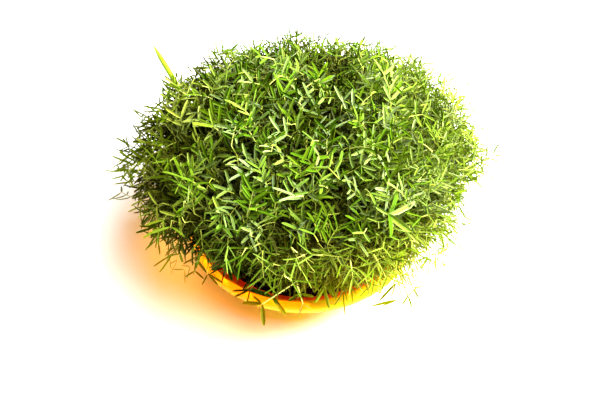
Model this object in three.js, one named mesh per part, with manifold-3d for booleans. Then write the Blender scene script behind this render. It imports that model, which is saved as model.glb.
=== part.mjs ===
// A round, shallow dish of lentil microgreens: a flared plastic dish with a rolled lip, a bed of
// soil in it, and a dome of leafy seedlings that fans out well past the rim.
// The seedlings stand in clumps. Each clump is one body: slim stems in plain holes in the soil,
// a smaller core where the stems and inner leaves crowd together, and compound leaves standing
// out of that core all round. One stray blade of grass grows up through a clump at the back left.
// Millimetres, +Z up, origin at the middle of the dish's flat underside. The front is -Y.

import * as THREE from "three";
import { mergeVertices } from "three/addons/utils/BufferGeometryUtils.js";
import Module from "manifold-3d";

const wasm = await Module();
wasm.setup();

// Driving dimensions of the dish
const DISH_HEIGHT = 32;
const DISH_RADIUS = 85;
const DISH_WALL = 1.8;
const LIP_ROLL_RADIUS = 4.5;
const LIP_ROLL_FROM = THREE.MathUtils.degToRad(135);
const LIP_ROLL_TO = THREE.MathUtils.degToRad(-25);
const BASE_CHAMFER = 3;
const DISH_SIDES = 36;

// Driving dimensions of the soil
const SOIL_TOP = 24;
const SOIL_CROWN = 1.5;
const SOIL_LUMP = 0.6;
const SOIL_LUMP_LENGTH = 6.5;
const SOIL_RINGS = [0.75, 0.4];
const SOIL_SIDES = 20;
const REST_GAP = 0.35;

// Driving dimensions of the canopy, a flattened ball of leaves above the dish
const CANOPY_RADIUS = 118;
const CANOPY_HALF_HEIGHT = 43;
const CANOPY_MIDDLE = 96;
const LEAF_LAYER = 25;
const SIDE_LEAF_LAYER = 28;
const CORE_RADIUS = CANOPY_RADIUS - SIDE_LEAF_LAYER;
const CORE_HALF_HEIGHT = CANOPY_HALF_HEIGHT - LEAF_LAYER;
const CORE_SIDES = 24;
const CORE_RINGS = 10;

// Every stem lies on a line through this point below the dish, so stems fan out and never cross
const FAN_POINT = new THREE.Vector3(0, 0, -75);
const CLUMP_SEED = 11;
const FROND_SEED = 29;
const CLUMP_RINGS = [
  { count: 1, lean: 0, turn: 0 },
  { count: 6, lean: 13, turn: 12 },
  { count: 12, lean: 24, turn: 5 },
];
const CLUMP_SHIFT = 1.2;
const CLUMP_GAP = 0.6;

// Stems
const STEMS_PER_CLUMP = 3;
const STEM_RING_RADIUS = 5;
const STEM_RADIUS = 1.7;
const STEM_DEPTH = 12;
const STEM_TOP = 95;
const STEM_SIDES = 3;

// Compound leaves: two pairs of narrow leaflets on a rib, larger than life so that they cover the dome
const FROND_COUNT = 200;
const LOWEST_FROND = -0.6;
const ROOT_DEPTH = 5;
const RIB_HALF_WIDTH = 0.9;
const RIB_HALF_THICK = 0.75;
const PAIR_PLACES = [13, 24];
const RIB_TIP = 4;
const LEAFLET_LENGTH = 19;
const LEAFLET_HALF_WIDTH = 2.5;
const LEAFLET_FOOT = 1.2;
const LEAFLET_WIDEST = 0.45;
const LEAFLET_SPREAD = THREE.MathUtils.degToRad(46);
const LEAFLET_FOLD = 0.16;
const RIB_DROOP = 0.22;
const LEAST_LEAN = 0.25;
const MOST_LEAN = 1.25;
const SKIRT_FROM = 0.1;
const SKIRT_DROOP = 0.9;
const STRAY_SHARE = 0.3;
const STRAY_STRETCH = 1.45;
const LEAST_STRETCH = 0.9;
const MOST_STRETCH = 1.15;
const FROND_TRIES = 60;
const FROND_CLEARANCE = 2.2;
const FROND_REACH = 2.2 * LEAFLET_HALF_WIDTH;
const FROND_GAP = 0.4;
const DISH_CLEARANCE = 3;
const CANOPY_SLACK = 1.06;
const SKIRT_SLACK = 1.09;
const MOST_FROND_LENGTH = STRAY_STRETCH * PAIR_PLACES.at(-1) + LEAFLET_LENGTH;

// The stray blade of grass, from its root in the soil to its tip beyond the leaves
const GRASS_OUT_OF_LEAVES = new THREE.Vector3(-91, 60, 104);
const GRASS_TIP = new THREE.Vector3(-103, 61, 135);
const GRASS_HALF_WIDTH = 1.7;
const GRASS_HALF_THICK = 0.6;
const GRASS_STEPS = 7;
const GRASS_GAP = 0.4;

const GOLDEN_ANGLE = Math.PI * (3 - Math.sqrt(5));

const DISH_PLASTIC = new THREE.MeshStandardMaterial({ color: 0xf59a0c, roughness: 0.35, metalness: 0 });
const DAMP_SOIL = new THREE.MeshStandardMaterial({ color: 0x34160f, roughness: 0.95, metalness: 0 });
const LEAF_GREEN = new THREE.MeshStandardMaterial({ color: 0x5f8f24, roughness: 0.55, metalness: 0 });
const GRASS_GREEN = new THREE.MeshStandardMaterial({ color: 0xb5d61c, roughness: 0.5, metalness: 0 });

// A repeatable stream of numbers from 0 to 1
function seededRandom(seed) {
  let state = seed >>> 0;
  return () => {
    state = (state + 0x6d2b79f5) >>> 0;
    let mixed = Math.imul(state ^ (state >>> 15), state | 1);
    mixed ^= mixed + Math.imul(mixed ^ (mixed >>> 7), mixed | 61);
    return ((mixed ^ (mixed >>> 14)) >>> 0) / 4294967296;
  };
}

// Solids for joining and cutting
function solidOf(geometry) {
  const bare = new THREE.BufferGeometry().setIndex(geometry.index);
  bare.setAttribute("position", geometry.getAttribute("position"));
  const merged = mergeVertices(bare, 1e-4);
  return new wasm.Manifold(
    new wasm.Mesh({
      numProp: 3,
      vertProperties: merged.getAttribute("position").array,
      triVerts: new Uint32Array(merged.index.array),
    }),
  );
}

function geometryOf(solid) {
  const mesh = solid.getMesh();
  const geometry = new THREE.BufferGeometry();
  geometry.setAttribute("position", new THREE.BufferAttribute(mesh.vertProperties, mesh.numProp));
  geometry.setIndex(new THREE.BufferAttribute(mesh.triVerts, 1));
  geometry.computeVertexNormals();
  return geometry;
}

// The largest body of a solid, without the scraps that a cut may leave
function mainBody(solid) {
  return solid.decompose().sort((a, b) => b.volume() - a.volume())[0];
}

// Lathe profiles are (radius, height) pairs, revolved about +Z
function revolved(profile, sides) {
  const points = profile.map(([radius, height]) => new THREE.Vector2(radius, height));
  return new THREE.LatheGeometry(points, sides).rotateX(Math.PI / 2);
}

function arcPoints(centre, radius, from, to, steps) {
  return Array.from({ length: steps + 1 }, (_, i) => {
    const angle = from + ((to - from) * i) / steps;
    return [centre[0] + radius * Math.cos(angle), centre[1] + radius * Math.sin(angle)];
  });
}

// The wall leans out at 45 degrees and runs straight into the rolled lip
const LIP_CENTRE = [DISH_RADIUS - LIP_ROLL_RADIUS, DISH_HEIGHT - LIP_ROLL_RADIUS];
const LIP_UNDER_RADIUS = LIP_ROLL_RADIUS - DISH_WALL;

function wallRadius(height, rollRadius) {
  const startRadius = LIP_CENTRE[0] + rollRadius * Math.cos(LIP_ROLL_FROM);
  const startHeight = LIP_CENTRE[1] + rollRadius * Math.sin(LIP_ROLL_FROM);
  return startRadius + height - startHeight;
}

const innerWallRadius = (height) => wallRadius(height, LIP_ROLL_RADIUS);
const outerWallRadius = (height) => wallRadius(height, LIP_UNDER_RADIUS);

function dishGeometry() {
  const chamferHeight = BASE_CHAMFER / 3;
  const floor = DISH_WALL;
  return revolved(
    [
      [0, 0],
      [outerWallRadius(0) - BASE_CHAMFER, 0],
      [outerWallRadius(chamferHeight), chamferHeight],
      ...arcPoints(LIP_CENTRE, LIP_UNDER_RADIUS, LIP_ROLL_FROM, LIP_ROLL_TO, 3),
      ...arcPoints(LIP_CENTRE, LIP_ROLL_RADIUS, LIP_ROLL_TO, LIP_ROLL_FROM, 6),
      [innerWallRadius(floor + chamferHeight), floor + chamferHeight],
      [innerWallRadius(floor) - BASE_CHAMFER, floor],
      [0, floor],
    ],
    DISH_SIDES,
  );
}

// A stem is a slim prism on a fan line, from its foot in the soil up into the core
function fanPoint(through, height) {
  const share = (height - FAN_POINT.z) / (through.z - FAN_POINT.z);
  return FAN_POINT.clone().lerp(through, share);
}

function stemGeometry(through, bottom, top, radius) {
  const foot = fanPoint(through, bottom);
  const head = fanPoint(through, top);
  const length = foot.distanceTo(head);
  const upright = new THREE.Vector3(0, 1, 0);
  const stem = new THREE.CylinderGeometry(radius, radius, length, STEM_SIDES);
  const along = head.clone().sub(foot).normalize();
  stem.applyQuaternion(new THREE.Quaternion().setFromUnitVectors(upright, along));
  const middle = foot.add(head).multiplyScalar(0.5);
  return stem.translate(middle.x, middle.y, middle.z);
}

// The blade of grass follows a fan line through the leaves and then bends upright
function grassGeometry(extra) {
  const path = new THREE.CatmullRomCurve3([
    fanPoint(GRASS_OUT_OF_LEAVES, SOIL_TOP - STEM_DEPTH - extra),
    fanPoint(GRASS_OUT_OF_LEAVES, SOIL_TOP),
    fanPoint(GRASS_OUT_OF_LEAVES, CANOPY_MIDDLE - CANOPY_HALF_HEIGHT),
    GRASS_OUT_OF_LEAVES,
    GRASS_TIP,
  ]);
  const half = { width: GRASS_HALF_WIDTH + extra, thick: GRASS_HALF_THICK + extra };
  const section = new THREE.Shape([
    new THREE.Vector2(half.thick, 0),
    new THREE.Vector2(0, half.width),
    new THREE.Vector2(-half.thick, 0),
    new THREE.Vector2(0, -half.width),
  ]);
  return new THREE.ExtrudeGeometry(section, { steps: GRASS_STEPS, extrudePath: path });
}

// Soil, lumpy on top, with a hole for each stem and for the blade of grass
function soilGeometry() {
  const floor = DISH_WALL + REST_GAP;
  const edge = innerWallRadius(SOIL_TOP) - REST_GAP * 2;
  const drop = SOIL_TOP - floor;
  const rings = SOIL_RINGS.map((share) => [edge * share, SOIL_TOP + SOIL_CROWN * (1 - share * share)]);
  const bed = revolved(
    [
      [0, floor],
      [edge - drop - BASE_CHAMFER, floor],
      [edge - drop + BASE_CHAMFER / 3, floor + BASE_CHAMFER / 3],
      [edge, SOIL_TOP],
      ...rings,
      [0, SOIL_TOP + SOIL_CROWN],
    ],
    SOIL_SIDES,
  );
  const spots = bed.getAttribute("position");
  for (let i = 0; i < spots.count; i++) {
    const x = spots.getX(i);
    const y = spots.getY(i);
    const onTop = spots.getZ(i) > SOIL_TOP && Math.hypot(x, y) > 1;
    const lump = SOIL_LUMP * Math.sin(x / SOIL_LUMP_LENGTH) * Math.cos(y / SOIL_LUMP_LENGTH);
    if (onTop) spots.setZ(i, spots.getZ(i) + lump);
  }
  const holeRadius = STEM_RADIUS + REST_GAP / Math.cos(Math.PI / STEM_SIDES);
  const places = directions.flatMap((_, index) => stemPlaces(index));
  const holes = places.map((place) =>
    solidOf(stemGeometry(place, SOIL_TOP - STEM_DEPTH - REST_GAP, STEM_TOP, holeRadius)),
  );
  holes.push(solidOf(grassGeometry(GRASS_GAP)));
  return geometryOf(mainBody(solidOf(bed).subtract(wasm.Manifold.union(holes))));
}

// Clumps: each takes the fan lines that are nearest to its own
function clumpDirections() {
  const random = seededRandom(CLUMP_SEED);
  const shift = () => (random() - 0.5) * 2 * CLUMP_SHIFT;
  return CLUMP_RINGS.flatMap(({ count, lean, turn }) =>
    Array.from({ length: count }, (_, i) => {
      const tilt = THREE.MathUtils.degToRad(lean + (lean ? shift() : 0));
      const turned = THREE.MathUtils.degToRad(turn + (360 / count) * i + shift());
      return new THREE.Vector3(
        Math.sin(tilt) * Math.cos(turned),
        Math.sin(tilt) * Math.sin(turned),
        Math.cos(tilt),
      );
    }),
  );
}

const directions = clumpDirections();

function clumpAt(point) {
  const line = point.clone().sub(FAN_POINT).normalize();
  const nearness = directions.map((direction) => direction.dot(line));
  return nearness.indexOf(Math.max(...nearness));
}

// The planes that part a clump from the others, each as a normal and an offset along it
function clumpWalls(index) {
  return directions
    .filter((_, other) => other !== index)
    .map((direction) => {
      const normal = directions[index].clone().sub(direction).normalize();
      return { normal, offset: normal.dot(FAN_POINT) + CLUMP_GAP / 2 };
    });
}

// Each clump's stems stand in a small ring round the place where its own fan line leaves the soil
function stemPlaces(index) {
  const axis = fanPoint(directions[index].clone().add(FAN_POINT), SOIL_TOP);
  return Array.from({ length: STEMS_PER_CLUMP }, (_, i) => {
    const angle = index + (2 * Math.PI * i) / STEMS_PER_CLUMP;
    const ring = new THREE.Vector3(Math.cos(angle), Math.sin(angle), 0);
    return axis.clone().addScaledVector(ring, STEM_RING_RADIUS);
  });
}

function coreGeometry() {
  const core = new THREE.SphereGeometry(1, CORE_SIDES, CORE_RINGS).rotateX(Math.PI / 2);
  return core.scale(CORE_RADIUS, CORE_RADIUS, CORE_HALF_HEIGHT).translate(0, 0, CANOPY_MIDDLE);
}

// A compound leaf along +X. Its edges are sharp and its rib is thick, so each rib station has an
// upper and a lower vertex, and each edge vertex belongs to both faces.
function frondGeometry(stretch) {
  const points = [];
  const faces = [];
  const pairs = PAIR_PLACES.map((place) => place * stretch);
  const end = pairs.at(-1) + RIB_TIP;
  const arch = (x) => -RIB_DROOP * end * (x / end) ** 2;
  const vertex = (x, y, z) => points.push(x, y, z) / 3 - 1;
  const station = (x) => ({
    top: vertex(x, 0, arch(x) + RIB_HALF_THICK),
    bottom: vertex(x, 0, arch(x) - RIB_HALF_THICK),
  });
  const onTop = (v) => v.top ?? v;
  const below = (v) => v.bottom ?? v;
  const bothFaces = (side, a, b, c) => {
    const [p, q] = side > 0 ? [b, c] : [c, b];
    faces.push(onTop(a), onTop(p), onTop(q), below(a), below(q), below(p));
  };
  const root = station(0);
  const ribs = pairs.map(station);
  const ribEnd = vertex(end, 0, arch(end));
  const axes = [];
  const rootEdge = [1, -1].map((side) => {
    const corner = vertex(0, side * RIB_HALF_WIDTH, 0);
    let last = root;
    let edge = corner;
    pairs.forEach((x, pair) => {
      const along = new THREE.Vector2(Math.cos(LEAFLET_SPREAD), side * Math.sin(LEAFLET_SPREAD));
      const across = new THREE.Vector2(-along.y, along.x).multiplyScalar(side * LEAFLET_HALF_WIDTH);
      const widest = along.clone().multiplyScalar(LEAFLET_LENGTH * LEAFLET_WIDEST);
      const end = along.clone().multiplyScalar(LEAFLET_LENGTH);
      const lift = arch(x) + LEAFLET_FOLD * LEAFLET_LENGTH;
      const foot = vertex(x - LEAFLET_FOOT, side * RIB_HALF_WIDTH, arch(x));
      const back = vertex(x + widest.x + across.x, widest.y + across.y, arch(x) + LEAFLET_FOLD);
      const tip = vertex(x + end.x, end.y, lift);
      const front = vertex(x + widest.x - across.x, widest.y - across.y, arch(x) + LEAFLET_FOLD);
      const rib = ribs[pair];
      bothFaces(side, last, foot, edge);
      bothFaces(side, last, rib, foot);
      bothFaces(side, rib, back, foot);
      bothFaces(side, rib, tip, back);
      bothFaces(side, rib, front, tip);
      axes.push([new THREE.Vector3(x, 0, arch(x)), new THREE.Vector3(x + end.x, end.y, lift)]);
      last = rib;
      edge = front;
    });
    bothFaces(side, last, ribEnd, edge);
    return corner;
  });
  faces.push(rootEdge[0], rootEdge[1], root.top, rootEdge[0], root.bottom, rootEdge[1]);
  axes.push([new THREE.Vector3(ROOT_DEPTH + 1, 0, 0), new THREE.Vector3(end, 0, arch(end))]);
  const geometry = new THREE.BufferGeometry();
  geometry.setAttribute("position", new THREE.BufferAttribute(new Float32Array(points), 3));
  geometry.setIndex(faces);
  return { geometry, axes };
}

// Points along a straight axis, and the least distance from them to another axis
const AXIS_STEPS = 8;

function axisPoints([from, to]) {
  return Array.from({ length: AXIS_STEPS + 1 }, (_, i) => from.clone().lerp(to, i / AXIS_STEPS));
}

function axisGap(points, [from, to]) {
  const line = new THREE.Line3(from, to);
  const near = new THREE.Vector3();
  return Math.min(...points.map((point) => line.closestPointToPoint(point, true, near).distanceTo(point)));
}

// Places for the fronds on the core, spread evenly over the dome's area from its top to its skirt
const AREA_STEPS = 400;

function evenHeights() {
  const heights = [];
  const areas = [0];
  for (let i = 0; i <= AREA_STEPS; i++) {
    const up = 1 - ((1 - LOWEST_FROND) * i) / AREA_STEPS;
    heights.push(up);
    areas.push(areas[i] + Math.hypot(CANOPY_RADIUS * up, CANOPY_HALF_HEIGHT * Math.sqrt(1 - up * up)));
  }
  const share = areas.at(-1) / FROND_COUNT;
  return Array.from({ length: FROND_COUNT }, (_, i) => {
    return heights[areas.findIndex((area) => area >= share * (i + 0.5)) - 1];
  });
}

function frondPlaces() {
  return evenHeights().map((up, i) => {
    const out = Math.sqrt(1 - up * up);
    const round = new THREE.Vector3(out * Math.cos(i * GOLDEN_ANGLE), out * Math.sin(i * GOLDEN_ANGLE), up);
    const size = new THREE.Vector3(CORE_RADIUS, CORE_RADIUS, CORE_HALF_HEIGHT);
    const place = round.clone().multiply(size).add(new THREE.Vector3(0, 0, CANOPY_MIDDLE));
    const normal = round.clone().divide(size).normalize();
    return { place, normal, skirt: up < SKIRT_FROM };
  });
}

// A frond stays clear of the dish and inside the dome above its widest ring
function staysInDome(spots, slack) {
  return spots.every((spot) => {
    const out = Math.hypot(spot.x, spot.y);
    const overDish = out < DISH_RADIUS + DISH_CLEARANCE && spot.z < DISH_HEIGHT + DISH_CLEARANCE;
    const above = spot.z - CANOPY_MIDDLE;
    const inDome = Math.hypot(out / CANOPY_RADIUS, Math.max(above, 0) / CANOPY_HALF_HEIGHT) < slack;
    return !overDish && inDome;
  });
}

function clearOfOthers(frond, others) {
  const points = frond.axes.map(axisPoints);
  return others.every((other) => {
    if (frond.middle.distanceTo(other.middle) > 2 * MOST_FROND_LENGTH) return true;
    const gaps = points.flatMap((row) => other.axes.map((axis) => axisGap(row, axis)));
    const gap = Math.min(...gaps);
    if (frond.clump === other.clump) return gap > FROND_CLEARANCE;
    return gap > FROND_REACH || frond.solid.minGap(other.solid, 1) > FROND_GAP;
  });
}

// A frond at a place, turned at random about the core's normal there
function turnedFrond({ place, normal, skirt }, stretch, random) {
  const loose = new THREE.Vector3(random() - 0.5, random() - 0.5, random() - 0.5).normalize();
  const sideways = loose.clone().addScaledVector(normal, -loose.dot(normal)).normalize();
  const lean = THREE.MathUtils.lerp(LEAST_LEAN, MOST_LEAN, random());
  const along = normal.clone().addScaledVector(sideways, lean);
  if (skirt) along.z -= SKIRT_DROOP * random();
  along.normalize();
  const across = new THREE.Vector3().crossVectors(normal, along).normalize();
  const upward = new THREE.Vector3().crossVectors(along, across);
  const pose = new THREE.Matrix4().makeBasis(along, across, upward);
  pose.setPosition(place.clone().addScaledVector(along, -ROOT_DEPTH));
  const { geometry, axes } = frondGeometry(stretch);
  geometry.applyMatrix4(pose);
  axes.flat().forEach((end) => end.applyMatrix4(pose));
  return { geometry, axes, clump: clumpAt(place), middle: axes.at(-1)[1] };
}

// Fronds for all clumps. One that would cross the dish, another clump or a near frond is turned again.
function growFronds(trunks) {
  const random = seededRandom(FROND_SEED);
  const grown = [];
  for (const root of frondPlaces()) {
    const slack = root.skirt ? SKIRT_SLACK : CANOPY_SLACK;
    const stray = root.skirt && random() < STRAY_SHARE;
    const stretch = stray ? STRAY_STRETCH : THREE.MathUtils.lerp(LEAST_STRETCH, MOST_STRETCH, random());
    for (let attempt = 0; attempt < FROND_TRIES; attempt++) {
      const frond = turnedFrond(root, stretch, random);
      const corners = frond.geometry.getAttribute("position");
      const spots = Array.from({ length: corners.count }, (_, i) => {
        return new THREE.Vector3().fromBufferAttribute(corners, i);
      });
      if (!staysInDome(spots, slack)) continue;
      frond.solid = solidOf(frond.geometry);
      const inOwnClump = trunks.every((trunk, index) => {
        return index === frond.clump || frond.solid.minGap(trunk, 1) > FROND_GAP;
      });
      if (!inOwnClump || !clearOfOthers(frond, grown)) continue;
      grown.push(frond);
      break;
    }
  }
  return grown;
}

// The stems of each clump, with the part of the core that they carry
function clumpTrunks() {
  const core = solidOf(coreGeometry());
  return directions.map((_, index) => {
    const ownCore = clumpWalls(index).reduce(
      (rest, { normal, offset }) => rest.trimByPlane(normal.toArray(), offset),
      core,
    );
    const stems = stemPlaces(index).map((place) =>
      solidOf(stemGeometry(place, SOIL_TOP - STEM_DEPTH, STEM_TOP, STEM_RADIUS)),
    );
    return wasm.Manifold.union([ownCore, ...stems]);
  });
}

function clumpGeometries() {
  const trunks = clumpTrunks();
  const fronds = growFronds(trunks);
  const channel = solidOf(grassGeometry(GRASS_GAP));
  return trunks.map((trunk, index) => {
    const leaves = fronds.filter(({ clump }) => clump === index).map(({ solid }) => solid);
    return geometryOf(mainBody(wasm.Manifold.union([trunk, ...leaves]).subtract(channel)));
  });
}

function namedMesh(name, geometry, material) {
  const mesh = new THREE.Mesh(geometry, material);
  mesh.name = name;
  return mesh;
}

const microgreens = new THREE.Group();
microgreens.add(namedMesh("dish", dishGeometry(), DISH_PLASTIC));
microgreens.add(namedMesh("soil", soilGeometry(), DAMP_SOIL));
microgreens.add(namedMesh("grass_blade", grassGeometry(0), GRASS_GREEN));
clumpGeometries().forEach((geometry, index) => {
  microgreens.add(namedMesh(`clump_${String(index + 1).padStart(2, "0")}`, geometry, LEAF_GREEN));
});

export default microgreens;
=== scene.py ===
# %% [markdown]
# # A dish of lentil microgreens
#
# A shallow dish of translucent orange plastic holds a bed of dark soil, and hundreds of lentil
# seedlings stand in it so close that their leaves make one dome. The solids of the frame give the
# dish, the soil, one stray blade of grass and the clumps of seedlings at their real size. This
# lesson replaces each of them by a finer piece in the same place.

# %% Load the frame
import math
import random

import bpy
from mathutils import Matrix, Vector, noise


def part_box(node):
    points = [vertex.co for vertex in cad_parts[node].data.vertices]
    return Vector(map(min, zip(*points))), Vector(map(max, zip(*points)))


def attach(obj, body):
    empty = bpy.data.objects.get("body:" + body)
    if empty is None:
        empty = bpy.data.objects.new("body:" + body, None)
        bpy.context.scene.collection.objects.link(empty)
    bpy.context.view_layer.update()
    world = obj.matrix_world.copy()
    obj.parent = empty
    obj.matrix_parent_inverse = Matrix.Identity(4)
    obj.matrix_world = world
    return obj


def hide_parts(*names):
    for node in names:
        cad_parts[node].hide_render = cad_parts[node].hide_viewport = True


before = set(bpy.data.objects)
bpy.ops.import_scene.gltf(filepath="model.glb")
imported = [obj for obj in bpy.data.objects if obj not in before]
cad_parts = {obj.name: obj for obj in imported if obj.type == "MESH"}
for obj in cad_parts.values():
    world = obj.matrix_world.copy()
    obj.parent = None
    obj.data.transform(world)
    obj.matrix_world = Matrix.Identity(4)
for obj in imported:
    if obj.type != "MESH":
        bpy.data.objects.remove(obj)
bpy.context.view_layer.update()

MM = 0.001
scene = bpy.context.scene
clump_names = sorted(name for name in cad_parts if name.startswith("clump_"))
print("frame:", len(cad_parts), "nodes, of which", len(clump_names), "clumps")

# %% [markdown]
# ## The camera
#
# The photograph looks down on the dome at 47 degrees. The place and the lens were worked out from
# the ellipse of the dish's lip, so anything that is built at its real size lands on its pixel.
# `photo_spot` goes the other way: it gives the point of space behind a pixel at a chosen depth.

# %% Camera at the photograph's angle
PHOTO_WIDTH = 600
PHOTO_HEIGHT = 412
FOCAL_PIXELS = 724
SENSOR_WIDTH = 36
CAMERA_SPOT = Vector((-1.9, -362.8, 429.2)) * MM
CAMERA_TARGET = Vector((-1.9, 0, 40.1)) * MM

camera = bpy.data.objects.new("camera", bpy.data.cameras.new("camera"))
camera.data.sensor_width = SENSOR_WIDTH
camera.data.lens = SENSOR_WIDTH * FOCAL_PIXELS / PHOTO_WIDTH
camera.location = CAMERA_SPOT
looking = (CAMERA_TARGET - CAMERA_SPOT).to_track_quat("-Z", "Y")
camera.rotation_euler = looking.to_euler()
scene.collection.objects.link(camera)
scene.camera = camera


def pixel_ray(across, down):
    return looking @ Vector((across - PHOTO_WIDTH / 2, PHOTO_HEIGHT / 2 - down, -FOCAL_PIXELS))


def photo_spot(across, down, depth):
    """The point behind a pixel where Y is depth, in metres."""
    ray = pixel_ray(across, down)
    return CAMERA_SPOT + ray * ((depth - CAMERA_SPOT.y) / ray.y)


print("camera lens", round(camera.data.lens, 1), "mm")

# %% [markdown]
# ## Helpers for nodes and pieces
#
# Shader trees and Geometry Nodes trees are both made of nodes and links. `node` adds one node and
# sets its inputs: a socket as a value makes a link, and anything else is set as the default.

# %% Node helpers


def feed(tree, socket, value):
    if isinstance(value, bpy.types.NodeSocket):
        tree.links.new(value, socket)
    else:
        socket.default_value = value


def node(tree, kind, inputs=None, **settings):
    made = tree.nodes.new(kind)
    for key, value in settings.items():
        setattr(made, key, value)
    for key, value in (inputs or {}).items():
        feed(tree, made.inputs[key], value)
    return made


def ranged(tree, value, given, wanted):
    limits = {"From Min": given[0], "From Max": given[1], "To Min": wanted[0], "To Max": wanted[1]}
    return node(tree, "ShaderNodeMapRange", {"Value": value, **limits}).outputs["Result"]


def new_material(name, **values):
    """A material, its tree and its shader. Values are the shader's inputs, with _ for each space."""
    material = bpy.data.materials.new(name)
    material.use_nodes = True
    shader = material.node_tree.nodes["Principled BSDF"]
    for label, value in values.items():
        shader.inputs[label.replace("_", " ")].default_value = value
    return material, material.node_tree, shader


# %% Piece helpers


def linked(name, data):
    made = bpy.data.objects.new(name, data)
    scene.collection.objects.link(made)
    return made


def new_mesh(name, vertices, faces, edges=()):
    mesh = bpy.data.meshes.new(name)
    mesh.from_pydata(vertices, edges, faces)
    return mesh


def vertex_values(mesh, label, values):
    mesh.attributes.new(label, "FLOAT", "POINT").data.foreach_set("value", values)


def mesh_piece(name, vertices, faces, material):
    piece = linked(name, new_mesh(name, vertices, faces))
    piece.data.materials.append(material)
    piece.data.polygons.foreach_set("use_smooth", [True] * len(faces))
    return piece


def compass(degrees):
    """The level direction at a turn from +X towards +Y."""
    return Vector((math.cos(math.radians(degrees)), math.sin(math.radians(degrees)), 0))


# %% [markdown]
# ## Floor and light
#
# The real dish stands on white card in bright window light from the right and a little behind, so
# bright that the card burns out. The shade to the left isn't grey: light that comes through the
# orange plastic fills it. A row of small orange lamps beside the lip stands for that light, because
# light through plastic is slow to find for a path tracer. The wall lamp does the same for the dish's
# inner wall and lights nothing else, and the side lamp lights only pieces that are linked to it. The
# sky lights the dish only a little, but where the camera sees past the card it is plain white.

# %% Floor, lamps and sky
FLOOR_HALF = 0.9
FLOOR_WHITE = (0.93, 0.93, 0.92, 1)
SKY_STRENGTH = 0.05
DOME_MIDDLE = Vector((0, 0, 0.096))
WHITE = (1, 1, 1)
# Each lamp's place in metres, its watts, its width in metres and its colour.
LAMPS = {
    "window": (Vector((1.0, 0.20, 0.78)), 78, 0.7, (1.0, 0.98, 0.93)),
    "softbox": (Vector((0.40, -0.18, 1.14)), 44, 0.9, WHITE),
    "side": (Vector((1.0, -0.34, 0.52)), 32, 0.5, WHITE),
}
LEFT_GLOW = Vector((1.0, 0.54, 0.10))
FRONT_GLOW = Vector((1.0, 0.20, 0.001))
GLOW_WATTS = 0.0135
GLOW_SIZE = 0.04
GLOW_TURNS = range(152, 265, 14)
GLOW_RADIUS = 0.092
GLOW_HEIGHT = Vector((0, 0, 0.042))
GLOW_DIP = Vector((0, 0, -1.2))
WALL_LAMP = (Vector((-0.020, -0.010, 0.060)), 0.03, 0.03, (1.0, 0.30, 0.03))
WALL_TARGET = Vector((-0.066, -0.045, 0.028))


def area_lamp(name, target, spot, watts, size, colour):
    lamp = linked(name, bpy.data.lights.new(name, "AREA"))
    lamp.data.shape = "DISK"
    lamp.data.size = size
    lamp.data.energy = watts
    lamp.data.color = colour
    lamp.location = spot
    lamp.rotation_euler = (target - spot).to_track_quat("-Z", "Y").to_euler()
    lamp.visible_camera = False
    return lamp


corners = [(x * FLOOR_HALF, y * FLOOR_HALF, 0) for x, y in ((-1, -1), (1, -1), (1, 1), (-1, 1))]
white_card = new_material("white_card", Base_Color=FLOOR_WHITE, Roughness=0.9)[0]
floor = mesh_piece("floor", corners, [(0, 1, 2, 3)], white_card)

lamps = {name: area_lamp(name, DOME_MIDDLE, *values) for name, values in LAMPS.items()}
side_lit_pieces = bpy.data.collections.new("lit_from_the_side")
lamps["side"].light_linking.receiver_collection = side_lit_pieces
for index, turn in enumerate(GLOW_TURNS):
    spot = compass(turn) * GLOW_RADIUS + GLOW_HEIGHT
    colour = LEFT_GLOW.lerp(FRONT_GLOW, index / (len(GLOW_TURNS) - 1))
    area_lamp(f"glow_{turn}", spot + compass(turn) + GLOW_DIP, spot, GLOW_WATTS, GLOW_SIZE, colour)

wall_lamp = area_lamp("wall", WALL_TARGET, *WALL_LAMP)
wall_lit_pieces = bpy.data.collections.new("lit_through_the_wall")
wall_lamp.light_linking.receiver_collection = wall_lit_pieces
wall_lamp.light_linking.blocker_collection = wall_lit_pieces

scene.world = bpy.data.worlds.new("studio")
scene.world.use_nodes = True
sky = scene.world.node_tree
seen = node(sky, "ShaderNodeLightPath").outputs["Is Camera Ray"]
sky.nodes["Background"].inputs["Color"].default_value = (*WHITE, 1)
feed(sky, sky.nodes["Background"].inputs["Strength"], ranged(sky, seen, (0, 1), (SKY_STRENGTH, 1)))
scene.view_settings.view_transform = "Standard"


def stands_for(piece, slot, *nodes, side_lit=False):
    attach(piece, "root")
    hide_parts(*nodes)
    if side_lit:
        side_lit_pieces.objects.link(piece)
    print(piece.name, len(piece.data.polygons), "faces, stands for", ", ".join(nodes))


# %% [markdown]
# ## The dish
#
# The dish is one thin moulding: a flat floor, a wall that leans out at 45 degrees and a lip that
# rolls over. It could be pulled from a ring of faces, but a profile of a few straight lines and two
# arcs, turned about the upright axis, keeps the wall and the lip exact.
# The plastic is a saturated orange, with painted light that makes it yellower towards the window and
# painted shade that makes its inner wall deep red. Light wanders inside it, which subsurface scattering
# gives, and in the burnt-out light its red and green both clip, so that the lip looks yellow.

# %% Shader helpers
MIX_FACTOR, MIX_FIRST, MIX_SECOND, MIX_RESULT = 0, 6, 7, 2


def colour_ramp(tree, factor, stops):
    ramp = node(tree, "ShaderNodeValToRGB", {"Fac": factor})
    elements = ramp.color_ramp.elements
    while len(elements) < len(stops):
        elements.new(0.5)
    for element, (place, colour) in zip(elements, stops):
        element.position = place
        element.color = (*colour, 1)
    return ramp.outputs["Color"]


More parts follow.
